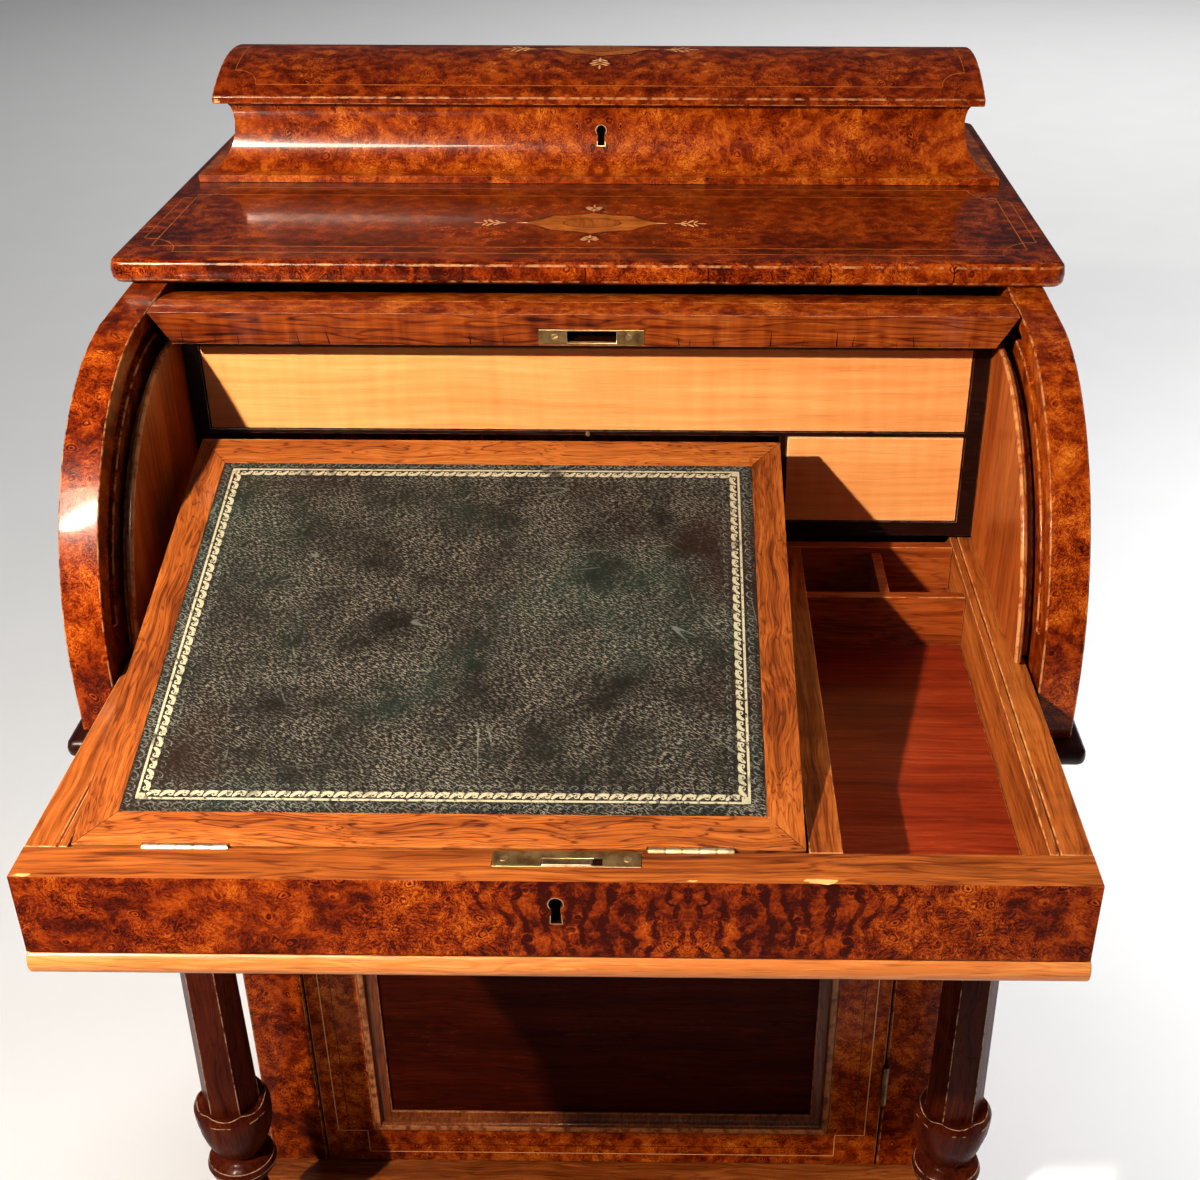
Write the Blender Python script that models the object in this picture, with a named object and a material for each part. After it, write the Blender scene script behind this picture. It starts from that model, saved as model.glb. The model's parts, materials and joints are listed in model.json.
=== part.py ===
"""Davenport desk: cylinder fall, pull-out writing slide, cupboard pedestal and stationery box.

Metres, +Z up, the front faces -Y. Z = 0 is the floor, X = 0 the middle, and Y = 0 the front edge of
the top board. The desk stands open: slide out, cylinder rolled back, writing slope raised on its prop.
Angles round the cylinder's axis run from the front (-Y) up over the top.
"""
import math

import bmesh
import bpy
from mathutils import Matrix, Vector

# Clearances
FIT = 0.0003            # between pieces that are glued, screwed or rest on each other
RUN = 0.0015            # between pieces that slide or swing past each other
EASE = 0.001            # worn-off edge of a board
FINE_EASE = 0.0006      # worn-off edge of a small piece

# Heights, from the floor upwards
FOOT_H = 0.058
PLINTH_RAIL_H = 0.0675
PLINTH_BOARD_T = 0.018
PEDESTAL_H = 0.4925
CASE_BOTTOM_T = 0.014
CASE_H = 0.202          # clear height inside the upper case
TOP_T = 0.015

# Top board and the curved ends
TOP_W = 0.580
TOP_DEPTH = 0.382
TOP_ROUND = 0.005
TOP_CORNER = 0.009
END_INSET = 0.0125      # top board's overhang at each side
END_T = 0.022
END_FRONT = 0.206       # ends stand this far in front of the top board
END_CURVE_R = 0.1566
END_SHOULDER = 0.0024   # crest of the curve below the top board
END_STEPS = 18
CASE_BACK_INSET = 0.012
CASE_BACK_T = 0.008
BASE_MOULD_H = 0.012
BASE_MOULD_EDGE = 0.0048
BASE_MOULD_SIDE = 0.0075
BASE_MOULD_FRONT = 0.012

# Writing slide
SLIDE_OUT = 0.380       # front face in front of the top board, pulled out
SLIDE_TRAVEL = 0.176
SLIDE_CLEAR = 0.002
SLIDE_H = 0.0435
SLIDE_LENGTH = 0.440
SLIDE_FRONT_T = 0.0233
SLIDE_FACE_H = 0.045
SLIDE_SIDE_W = 0.0205
SLIDE_LINER_W = 0.0048  # inner strip of each side, marked off by a groove
SLIDE_GROOVE = 0.0012
SLIDE_FLOOR_T = 0.006
BEAD_H = 0.0145
BEAD_PROUD = 0.002
PEN_TRAY_W = 0.0976
PEN_DIVIDER_W = 0.0160
SLIDE_BACK_Y = 0.031    # front of the tray's back wall, in front of the top board
SLIDE_BACK_T = 0.008
INK_DEPTH = 0.053
INK_WALL_T = 0.007
INK_WALL_DROP = 0.004
INK_SPLIT_T = 0.006
INK_SPLIT_SHARE = 0.5

# Writing slope and its prop
SLOPE_TILT = math.radians(14.8)
SLOPE_LENGTH = 0.314
SLOPE_T = 0.016
SLOPE_GAP = 0.0015      # at both sides of the slope
SLOPE_FRONT = 0.001     # front edge behind the hinge axis
SLOPE_FRAME_SIDE = 0.018
SLOPE_FRAME_FRONT = 0.022
SLOPE_FRAME_BACK = 0.023
LEATHER_T = 0.0012
PROP_TILT = math.radians(35.2)
PROP_ALONG = 0.190
PROP_T = 0.006
PROP_W_TOP = 0.130
PROP_W_FOOT = 0.090
HINGE_LENGTH = 0.041
HINGE_PIN_R = 0.0022
HINGE_LEAF_T = 0.0008
HINGE_LEAF_H = 0.014
HINGE_SINK = 0.001      # slope hinge axis below the slide's top
HINGE_INSET = 0.034     # left hinge from the slope's side
HINGE_LOCK_GAP = 0.0029 # right hinge from the lock's plate

# Slide lock
LOCK_X = 0.005
LOCK_PLATE_W = 0.070
LOCK_PLATE_D = 0.012
LOCK_PLATE_T = 0.002
LOCK_BODY_W = 0.056
LOCK_BODY_H = 0.032
LOCK_WALL = 0.0012
BOLT_W = 0.024
BOLT_T = 0.005
BOLT_H = 0.018
BOLT_THROW = 0.006
BOLT_BACK = 0.0150      # bolt behind the slide's front face
KEYHOLE_R = 0.0034
KEYHOLE_H = 0.0120
SLIDE_KEYHOLE_H = 0.0148
LOCK_KEY_SIDE = 0.0047  # slide's keyhole left of the lock's middle
SLIDE_KEY_DROP = 0.0135 # eye of the slide's keyhole below its top
BOX_KEYHOLE_H = 0.0130
BOX_KEY_SIDE = 0.0015   # box's keyhole right of the middle
BOX_KEY_DROP = 0.0056   # eye of the box's keyhole below its waist
KEYHOLE_SLOT = 0.0052   # width at the foot of the slot
KEYHOLE_GAP = math.radians(80)
KEYHOLE_STEPS = 12
KEYHOLE_DEPTH = 0.009

# Cylinder fall
CYL_BACK = -0.035       # axis behind the top board's front edge
CYL_DROP = 0.012        # axis below the slide's top
CYL_R = 0.169
CYL_SHELL_T = 0.009
CYL_LIP_T = 0.020
CYL_LIP_ARC = math.radians(7.5)
CYL_CREST = math.radians(104)
CYL_SWING = math.radians(81.6)
CYL_SIDE_GAP = 0.001
CYL_LAND = 0.0008       # lip above the slide when shut
LIP_MITRE = 0.0115
RIB_W = 0.012
RIB_T = 0.0095
STUD_R = 0.0035
STUD_L = 0.0040
STUD_INSET = math.radians(4)
TRACK_SPARE = math.radians(2)
CYL_STEPS = 22
STRIKE_W = 0.062
STRIKE_D = 0.0094
STRIKE_T = 0.0015
STRIKE_SLOT_W = 0.029
STRIKE_SLOT_D = 0.0074
MORTISE_SPARE = 0.004   # mortise behind the bolt's throw

# Linings and the drawers behind the slope
LINING_T = 0.004
LINING_SLOT = 0.0055
LINING_RIM = 0.009
LINING_CLEAR = 0.002
LINING_BACK_Y = 0.030
FITMENT_FRONT_Y = -0.020
FITMENT_BACK_Y = 0.058
FITMENT_LIFT = 0.003    # above the slide
FITMENT_SIDE_T = 0.0104
FITMENT_WALL_T = 0.005
FITMENT_FLOOR_T = 0.010
SHELF_RISE = 0.0707     # underside of the thin shelf above the slide
SHELF_T = 0.003
PARTITION_T = 0.0045
DRAWER_FRONT_T = 0.008
DRAWER_GAP = 0.0006
DRAWER_WALL_T = 0.004
DRAWER_FLOOR_T = 0.003
UPPER_BOX_H = 0.024
LOWER_BOX_H = 0.040

# Stationery box
BOX_DEPTH = 0.163
BOX_BACK_INSET = 0.037
BOX_SIDE_INSET = 0.012  # fillet inside the top board's end
BOX_H = 0.0489
BOX_WALL_T = 0.010
BOX_FILLET_H = 0.0046
BOX_HOLLOW = 0.024      # cavetto's depth
BOX_WAIST_Z = 0.036
BOX_FLARE = 0.005
BOX_BOTTOM_T = 0.005
BOX_BACK_T = 0.010
LID_OVERHANG = 0.006
LID_EDGE_H = 0.0048
LID_RISE = 0.0182
LID_HOLLOW = 0.009
LID_WALL_T = 0.018
LID_STEPS = 16
LID_HINGE_L = 0.380
LID_HINGE_R = 0.003
LID_LEAF_H = 0.014
LID_LEAF_T = 0.0012

# Pedestal and door
PED_SIDE_INSET = 0.0105 # cupboard's side inside the case's end
PED_FRONT_Y = -0.046
PED_BACK_INSET = 0.004
PED_SIDE_T = 0.018
PED_BACK_T = 0.010
PILASTER_W = 0.044
PILASTER_T = 0.022
PED_SHELF_T = 0.012
PED_SHELF_RISE = 0.250
PED_SHELF_SETBACK = 0.040
DOOR_GAP = 0.0015
DOOR_TOP_GAP = 0.0045
DOOR_T = 0.020
DOOR_FRAME_W = 0.040
DOOR_FOOT_W = 0.0345     # bottom rail
DOOR_PANEL_T = 0.006
DOOR_PANEL_BACK = 0.005
DOOR_MOULD_W = 0.014
DOOR_MOULD_PROUD = 0.0025
DOOR_BEAD_W = 0.0055
DOOR_LIP_T = 0.0025
DOOR_HINGE_L = 0.040
DOOR_HINGE_R = 0.0026
DOOR_HINGE_INSET = 0.092
DOOR_LEAF_D = 0.018
DOOR_LEAF_T = 0.0010

# Columns, heights counted from the plinth
COLUMN_INSET = 0.0235   # axis inside the case's end
COLUMN_SETBACK = 0.056  # axis behind the end's front
COLUMN_SIDES = 6
COLUMN_STEPS = 36
SHAFT_TOP_R = 0.0168
SHAFT_FOOT_R = 0.0202
CUP_Z = 0.1265
CUP_H = 0.052
CUP_R = 0.0268
CUP_NECK_R = 0.0135
CUP_RIM_R = 0.0238
CUP_LIP = 0.0016        # step from the rim down to the shaft
CUP_SWAG = 0.0032       # the rim hangs lower between the shaft's arrises
CUP_GROOVE = 0.0022     # between the petals
COLLAR_R = 0.0246
COLLAR_H = 0.020
VASE_R = 0.0212
VASE_NECK_R = 0.0128
COLUMN_BASE_R = 0.0260
COLUMN_BASE_H = 0.016
COLUMN_FILLET_H = 0.006
CAP_R = 0.0230
CAP_BEAD_H = 0.012
CAP_NECK_R = 0.0178
CAP_COVE_H = 0.010
CAP_BLOCK_H = 0.008
FRONT = -math.pi / 2     # turn round a column that faces the front

# Plinth and feet
PLINTH_SIDE_PROUD = 0.016
PLINTH_FRONT_PROUD = 0.044
PLINTH_BACK_PROUD = 0.008
PLINTH_EDGE = 0.0064
PLINTH_SET_IN = 0.007
PLINTH_WALL_T = 0.022
CORNER_BLOCK = 0.090
FOOT_R = 0.042
FOOT_NECK_R = 0.029
FOOT_NECK_H = 0.007
FOOT_PAD_R = 0.022
FOOT_INSET = 0.044
FOOT_STEPS = 24

# Levels and planes that follow from the sizes above
BOARD_Z = FOOT_H + PLINTH_RAIL_H
PED_Z = BOARD_Z + PLINTH_BOARD_T
CASE_Z = PED_Z + PEDESTAL_H
WELL_Z = CASE_Z + CASE_BOTTOM_T
END_Z = WELL_Z + BASE_MOULD_H
UNDER_TOP = WELL_Z + CASE_H
TOP_Z = UNDER_TOP + TOP_T
TOP_HALF = TOP_W / 2
END_OUT = TOP_HALF - END_INSET
END_IN = END_OUT - END_T
CASE_BACK_Y = TOP_DEPTH - CASE_BACK_INSET

SLIDE_Z = WELL_Z + FIT
SLIDE_TOP = SLIDE_Z + SLIDE_H
SLIDE_HALF = END_IN - SLIDE_CLEAR
SLIDE_FRONT_Y = -SLIDE_OUT
SLIDE_REAR_Y = SLIDE_FRONT_Y + SLIDE_LENGTH
SLIDE_RAIL_Y = SLIDE_FRONT_Y + SLIDE_FRONT_T
SLIDE_INNER = SLIDE_HALF - SLIDE_SIDE_W
SLIDE_FACE_Z = SLIDE_TOP - SLIDE_FACE_H
BEAD_Z = SLIDE_FACE_Z - FIT - BEAD_H
FLOOR_TOP = SLIDE_Z + SLIDE_FLOOR_T
PEN_X = SLIDE_INNER - PEN_TRAY_W
DIVIDER_X = PEN_X - PEN_DIVIDER_W
TRAY_BACK_Y = -SLIDE_BACK_Y

HINGE_Y = SLIDE_RAIL_Y + FIT + HINGE_LEAF_T
HINGE_Z = SLIDE_TOP - HINGE_SINK
SLOPE_X0 = -SLIDE_INNER + SLOPE_GAP
SLOPE_X1 = DIVIDER_X - SLOPE_GAP
SLOPE_TOP = HINGE_SINK
SLOPE_UNDER = SLOPE_TOP - SLOPE_T
HINGE_XS = (SLOPE_X0 + HINGE_INSET + HINGE_LENGTH / 2,
            LOCK_X + LOCK_PLATE_W / 2 + HINGE_LOCK_GAP + HINGE_LENGTH / 2)

AXIS_Y = CYL_BACK
AXIS_Z = SLIDE_TOP - CYL_DROP
CYL_HALF = END_IN - CYL_SIDE_GAP
LIP_LOW = CYL_DROP + CYL_LAND
LIP_ANGLE = math.asin(LIP_LOW / CYL_R)
RIB_ROOF = CYL_R - CYL_SHELL_T - FIT
STUD_TRACK = RIB_ROOF - RIB_T / 2
BOLT_Y = SLIDE_FRONT_Y + BOLT_BACK
MORTISE_DEPTH = BOLT_THROW + MORTISE_SPARE

LINING_R = CYL_R - CYL_LIP_T - LINING_CLEAR
LINING_IN = END_IN - LINING_SLOT - LINING_T
LINING_Z = SLIDE_TOP + RUN
FITMENT_HALF = LINING_IN - FIT
FITMENT_R = LINING_R - 2 * FIT
CELL_HALF = FITMENT_HALF - FITMENT_SIDE_T
CELL_BACK_Y = FITMENT_BACK_Y - FITMENT_WALL_T
FITMENT_Z = SLIDE_TOP + FITMENT_LIFT
SHELF_Z = SLIDE_TOP + SHELF_RISE
PARTITION_X = SLOPE_X1 + RUN + FIT
CELL_X = PARTITION_X + PARTITION_T

BOX_BACK_Y = TOP_DEPTH - BOX_BACK_INSET
BOX_FRONT_Y = BOX_BACK_Y - BOX_DEPTH
BOX_WAIST = TOP_HALF - BOX_SIDE_INSET - BOX_HOLLOW
BOX_WAIST_Y = BOX_FRONT_Y + BOX_HOLLOW
BOX_Z = TOP_Z + FIT
BOX_TOP = BOX_Z + BOX_H
LID_HINGE_Y = BOX_BACK_Y + LID_LEAF_T + FIT + LID_HINGE_R - LID_LEAF_T / 2
PED_HALF = END_OUT - PED_SIDE_INSET
PED_BACK_Y = CASE_BACK_Y - PED_BACK_INSET
COLUMN_X = END_OUT - COLUMN_INSET
COLUMN_Y = -END_FRONT + COLUMN_SETBACK
DOOR_HALF = PED_HALF - PILASTER_W - DOOR_GAP
DOOR_Z0 = PED_Z + DOOR_GAP
DOOR_Z1 = CASE_Z - DOOR_TOP_GAP
DOOR_AXIS = Vector((DOOR_HALF + DOOR_GAP / 2, PED_FRONT_Y - DOOR_HINGE_R - 2 * FIT, 0))

FINISHES = {
    "burr": ((0.255, 0.085, 0.022), 0.28, 0.0),
    "walnut": ((0.300, 0.115, 0.035), 0.35, 0.0),
    "dark_walnut": ((0.045, 0.016, 0.008), 0.30, 0.0),
    "ebonised": ((0.010, 0.006, 0.005), 0.40, 0.0),
    "maple": ((0.610, 0.340, 0.130), 0.40, 0.0),
    "mahogany": ((0.180, 0.040, 0.016), 0.45, 0.0),
    "pine": ((0.330, 0.180, 0.070), 0.60, 0.0),
    "leather": ((0.012, 0.020, 0.015), 0.50, 0.0),
    "brass": ((0.330, 0.200, 0.070), 0.38, 1.0),
    "steel": ((0.200, 0.180, 0.160), 0.35, 1.0),
}


def material(name, finish):
    """A Principled material for one piece."""
    colour, roughness, metallic = FINISHES[finish]
    made = bpy.data.materials.new(name)
    made.use_nodes = True
    shader = made.node_tree.nodes["Principled BSDF"]
    shader.inputs["Base Color"].default_value = (*colour, 1)
    shader.inputs["Roughness"].default_value = roughness
    shader.inputs["Metallic"].default_value = metallic
    made.diffuse_color = (*colour, 1)
    return made


def empty(name, place, tilt=0.0, parent=None):
    """A joint's frame: an empty on the axis, turned about X."""
    frame = bpy.data.objects.new(name, None)
    bpy.context.collection.objects.link(frame)
    frame.location = place
    frame.rotation_euler.x = tilt
    frame.parent = parent
    return frame


def piece(name, finish, mesh, frame=None):
    """One named solid, measured from its joint's frame where it has one."""
    made = bpy.data.objects.new(name, mesh)
    bpy.context.collection.objects.link(made)
    mesh.materials.clear()
    mesh.materials.append(material(name, finish))
    made.parent = frame
    return made


def to_mesh(name, work):
    bmesh.ops.recalc_face_normals(work, faces=work.faces)
    mesh = bpy.data.meshes.new(name)
    work.to_mesh(mesh)
    work.free()
    return mesh


def loft(sections):
    """A closed solid through rings of points, with flat ends."""
    work = bmesh.new()
    rings = [[work.verts.new(point) for point in section] for section in sections]
    for low, high in zip(rings, rings[1:]):
        for i in range(len(low)):
            j = (i + 1) % len(low)
            work.faces.new((low[i], low[j], high[j], high[i]))
    work.faces.new(rings[0])
    work.faces.new(rings[-1])
    return to_mesh("loft", work)


def prism_x(outline, x0, x1):
    """Outline in (y, z), run along X."""
    return loft([[(x, y, z) for y, z in outline] for x in (x0, x1)])


def prism_y(outline, y0, y1):
    return loft([[(x, y, z) for x, z in outline] for y in (y0, y1)])


def prism_z(outline, z0, z1):
    return loft([[(x, y, z) for x, y in outline] for z in (z0, z1)])


def block(x, y, z):
    """A plain board between pairs of limits."""
    return prism_z([(x[0], y[0]), (x[1], y[0]), (x[1], y[1]), (x[0], y[1])], *z)


def moved(mesh, place):
    mesh.transform(Matrix.Translation(place))
    return mesh


def turned(profile, steps):
    """A turning about Z from (radius, height) pairs."""
    turns = [2 * math.pi * i / steps for i in range(steps)]
    return loft([[(r * math.cos(a), r * math.sin(a), z) for a in turns] for r, z in profile])


def rod_x(radius, x0, x1, steps=16):
    turns = [2 * math.pi * i / steps for i in range(steps)]
    return prism_x([(radius * math.cos(a), radius * math.sin(a)) for a in turns], x0, x1)


def combine(mesh, other, operation):
    """Cut or join two meshes and return the result."""
    body = bpy.data.objects.new("body", mesh)
    tool = bpy.data.objects.new("tool", other)
    for item in (body, tool):
        bpy.context.collection.objects.link(item)
    change = body.modifiers.new("change", "BOOLEAN")
    change.operation = operation
    change.object = tool
    graph = bpy.context.evaluated_depsgraph_get()
    result = bpy.data.meshes.new_from_object(body.evaluated_get(graph))
    for item in (body, tool):
        bpy.data.objects.remove(item)
    return result


def cut(mesh, *cutters):
    for cutter in cutters:
        mesh = combine(mesh, cutter, "DIFFERENCE")
    return mesh


def join(mesh, *others):
    for other in others:
        mesh = combine(mesh, other, "UNION")
    return mesh


def soften(thing, width, segments=2):
    """Ease a piece's sharp edges."""
    bevel = thing.modifiers.new("soften", "BEVEL")
    bevel.width = width
    bevel.segments = segments
    bevel.limit_method = "ANGLE"
    bevel.angle_limit = math.radians(40)
    thing.data.shade_smooth()
    thing.data.set_sharp_from_angle(angle=math.radians(35))
    return thing


def smooth(thing, angle=35):
    thing.data.shade_smooth()
    thing.data.set_sharp_from_angle(angle=math.radians(angle))
    return thing


def arc(centre, radius, start, stop, steps):
    """Points on a circle, angles from -Y up over +Z."""
    turns = [start + (stop - start) * i / steps for i in range(steps + 1)]
    return [(centre[0] - radius * math.cos(a), centre[1] + radius * math.sin(a)) for a in turns]


def angle_at(offset, radius):
    """Angle of the point that lies this far behind the circle's centre."""
    return math.acos(-offset / radius)


def sector(inner, outer, start, stop, steps, centre=(0.0, 0.0)):
    """A band between two radii."""
    return arc(centre, outer, start, stop, steps) + arc(centre, inner, stop, start, steps)


def rounded(x, y, radius, steps=4):
    """A rectangle with rounded corners, in plan."""
    corners = ((x[1], y[1], 0), (x[0], y[1], 90), (x[0], y[0], 180), (x[1], y[0], 270))
    points = []
    for cx, cy, turn in corners:
        mx = cx - math.copysign(radius, cx - sum(x) / 2)
        my = cy - math.copysign(radius, cy - sum(y) / 2)
        for i in range(steps + 1):
            a = math.radians(turn + 90 * i / steps)
            points.append((mx + radius * math.cos(a), my + radius * math.sin(a)))
    return points


def keyhole(depth, height=KEYHOLE_H):
    """A keyhole cutter that runs back from Y = 0: a round eye above a flared slot."""
    turn = math.pi - KEYHOLE_GAP / 2
    turns = [turn * (2 * i / KEYHOLE_STEPS - 1) for i in range(KEYHOLE_STEPS + 1)]
    eye = [(KEYHOLE_R * math.sin(a), KEYHOLE_R * math.cos(a)) for a in turns]
    low = KEYHOLE_R - height
    slot = [(KEYHOLE_SLOT / 2, low), (-KEYHOLE_SLOT / 2, low)]
    return prism_y(eye + slot, -depth, depth)


def top_board():
    """The desk's top, with rounded corners and a rounded edge all round."""
    outline = (-TOP_HALF, TOP_HALF), (0, TOP_DEPTH)
    sections = []
    for i in range(7):
        a = math.radians(-90 + 30 * i)
        inset = TOP_ROUND * (1 - math.cos(a))
        z = UNDER_TOP + TOP_ROUND if i < 3 else TOP_Z - TOP_ROUND
        z = z + TOP_ROUND * math.sin(a) if i != 3 else (UNDER_TOP + TOP_Z) / 2
        plan = [(x[0] + inset, x[1] - inset) for x in outline]
        ring = rounded(*plan, TOP_CORNER - inset)
        sections.append([(x, y, z) for x, y in ring])
    smooth(piece("top_board", "burr", loft(sections)))


def end_outline():
    crest = UNDER_TOP - END_SHOULDER
    centre = (-END_FRONT + END_CURVE_R, crest - END_CURVE_R)
    under = UNDER_TOP - FIT
    return ([(CASE_BACK_Y, END_Z + FIT), (-END_FRONT, END_Z + FIT)]
            + arc(centre, END_CURVE_R, 0, math.pi / 2, END_STEPS)
            + [(0, under), (CASE_BACK_Y, under)])


def ends():
    """Curved ends, each with the arc-shaped track that the cylinder's studs ride in."""
    first = LIP_ANGLE + CYL_LIP_ARC + STUD_INSET - TRACK_SPARE
    last = CYL_CREST - STUD_INSET + CYL_SWING + TRACK_SPARE
    reach = STUD_R + FIT
    track = sector(STUD_TRACK - reach, STUD_TRACK + reach, first, last, 2 * CYL_STEPS, (AXIS_Y, AXIS_Z))
    for name, side in (("left", -1), ("right", 1)):
        body = prism_x(end_outline(), side * END_IN, side * END_OUT)
        groove = prism_x(track, side * (END_IN - RUN), side * (END_IN + STUD_L))
        smooth(piece(f"{name}_end", "burr", cut(body, groove)))


def linings():
    """Panels inside the ends; a rim stands clear of the end and leaves a dark slot."""
    low = math.asin((LINING_Z - AXIS_Z) / LINING_R)
    high = angle_at(LINING_BACK_Y - AXIS_Y, LINING_R)
    outline = (arc((AXIS_Y, AXIS_Z), LINING_R, low, high, CYL_STEPS) + [(LINING_BACK_Y, LINING_Z)])
    ring = sector(LINING_R - LINING_RIM, LINING_R + LINING_RIM, 0, math.pi, CYL_STEPS, (AXIS_Y, AXIS_Z))
    for name, side in (("left", -1), ("right", 1)):
        body = prism_x(outline, side * LINING_IN, side * (END_IN - FIT))
        slot = prism_x(ring, side * (LINING_IN + LINING_T), side * END_OUT)
        smooth(piece(f"{name}_lining", "walnut", cut(body, slot)))


def case_shell():
    """Bottom board, back board and the mouldings that the ends stand on."""
    front = -END_FRONT + SLIDE_FRONT_T + 2 * RUN
    soften(piece("case_bottom", "pine", block((-END_OUT, END_OUT), (front, CASE_BACK_Y),
                                              (CASE_Z + FIT, WELL_Z))), EASE, 1)
    piece("case_back", "pine", block((-END_IN + FIT, END_IN - FIT), (CASE_BACK_Y - CASE_BACK_T, CASE_BACK_Y),
                                     (WELL_Z + FIT, UNDER_TOP - FIT)))
    for name, side in (("left", -1), ("right", 1)):
        width = sorted((side * END_IN, side * (END_OUT + BASE_MOULD_SIDE)))
        body = block(width, (-END_FRONT - BASE_MOULD_FRONT, CASE_BACK_Y), (WELL_Z + FIT, END_Z))
        soften(piece(f"{name}_base_moulding", "dark_walnut", body), BASE_MOULD_EDGE, 3)


def fitment():
    """Ebonised frame behind the slope: a long upper cell, a short lower cell, an open recess."""
    centre = (AXIS_Y, AXIS_Z)
    front = FITMENT_FRONT_Y
    start = angle_at(front - AXIS_Y, FITMENT_R)
    stop = angle_at(FITMENT_BACK_Y - AXIS_Y, FITMENT_R)
    outline = [(front, FITMENT_Z)] + arc(centre, FITMENT_R, start, stop, 8) + [(FITMENT_BACK_Y, FITMENT_Z)]
    body = prism_x(outline, -FITMENT_HALF, FITMENT_HALF)
    roof = FITMENT_R - FITMENT_WALL_T
    vault = arc(centre, roof, angle_at(front - AXIS_Y, roof), angle_at(CELL_BACK_Y - AXIS_Y, roof), 8)
    mouth = front - FITMENT_WALL_T
    shelf_top = SHELF_Z + SHELF_T
    upper = [(mouth, shelf_top), (mouth, vault[0][1])] + vault + [(CELL_BACK_Y, shelf_top)]
    upper_cell = prism_x(upper, -CELL_HALF, CELL_HALF)
    lower_cell = block((CELL_X, CELL_HALF), (mouth, CELL_BACK_Y), (FITMENT_Z + FITMENT_FLOOR_T, SHELF_Z))
    recess = block((-CELL_HALF, PARTITION_X), (mouth, FITMENT_BACK_Y + FITMENT_WALL_T),
                   (FITMENT_Z - FITMENT_FLOOR_T, SHELF_Z))
    piece("fitment_frame", "ebonised", cut(body, upper_cell, lower_cell, recess))


def tray(x, y, z):
    """An open drawer box."""
    body = block(x, y, z)
    wall = DRAWER_WALL_T
    hollow = block((x[0] + wall, x[1] - wall), (y[0] + wall, y[1] - wall), (z[0] + DRAWER_FLOOR_T, z[1] + wall))
    return cut(body, hollow)


def drawer(name, x, z, box_h, frame):
    """A maple front and the box glued behind it."""
    back = FITMENT_FRONT_Y + DRAWER_FRONT_T
    front = block(x, (FITMENT_FRONT_Y, back), z)
    soften(piece(f"{name}_drawer_front", "maple", moved(front, -frame.location), frame), FINE_EASE, 1)
    inner = (x[0] + DRAWER_GAP, x[1] - DRAWER_GAP)
    box = tray(inner, (back + FIT, CELL_BACK_Y - RUN), (z[0], z[0] + box_h))
    piece(f"{name}_drawer_box", "mahogany", moved(box, -frame.location), frame)


def drawers():
    roof = FITMENT_R - FITMENT_WALL_T
    behind = FITMENT_FRONT_Y + DRAWER_FRONT_T - AXIS_Y
    crown = AXIS_Z + math.sqrt(roof ** 2 - behind ** 2) - DRAWER_GAP
    shelf_top = SHELF_Z + SHELF_T
    upper = empty("upper_drawer_frame", (0, FITMENT_FRONT_Y, shelf_top))
    drawer("upper", (-CELL_HALF + DRAWER_GAP, CELL_HALF - DRAWER_GAP), (shelf_top + FIT, crown),
           UPPER_BOX_H, upper)
    floor = FITMENT_Z + FITMENT_FLOOR_T
    lower = empty("lower_drawer_frame", ((CELL_X + CELL_HALF) / 2, FITMENT_FRONT_Y, floor))
    drawer("lower", (CELL_X + DRAWER_GAP, CELL_HALF - DRAWER_GAP), (floor + FIT, SHELF_Z - DRAWER_GAP),
           LOWER_BOX_H, lower)


def cylinder():
    """The quarter-round fall, modelled shut about its axis and rolled back by its frame."""
    frame = empty("cylinder_frame", (0, AXIS_Y, AXIS_Z), -CYL_SWING)
    lip_end = LIP_ANGLE + CYL_LIP_ARC
    shell_start = lip_end + FIT / CYL_R
    inner = CYL_R - CYL_SHELL_T
    shell = prism_x(sector(inner, CYL_R, shell_start, CYL_CREST, CYL_STEPS), -CYL_HALF, CYL_HALF)
    smooth(piece("cylinder_shell", "burr", shell, frame))
    edge_rail(frame, lip_end)
    rib = sector(RIB_ROOF - RIB_T, RIB_ROOF, shell_start, CYL_CREST, CYL_STEPS)
    for name, side in (("left", -1), ("right", 1)):
        body = prism_x(rib, side * (CYL_HALF - RIB_W), side * CYL_HALF)
        for turn in (lip_end + STUD_INSET, CYL_CREST - STUD_INSET):
            stud = rod_x(STUD_R, side * (CYL_HALF - RIB_W / 2), side * (END_IN + STUD_L - FIT), 12)
            moved(stud, (0, -STUD_TRACK * math.cos(turn), STUD_TRACK * math.sin(turn)))
            body = join(body, stud)
        smooth(piece(f"cylinder_{name}_rib", "walnut", body, frame))


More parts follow.
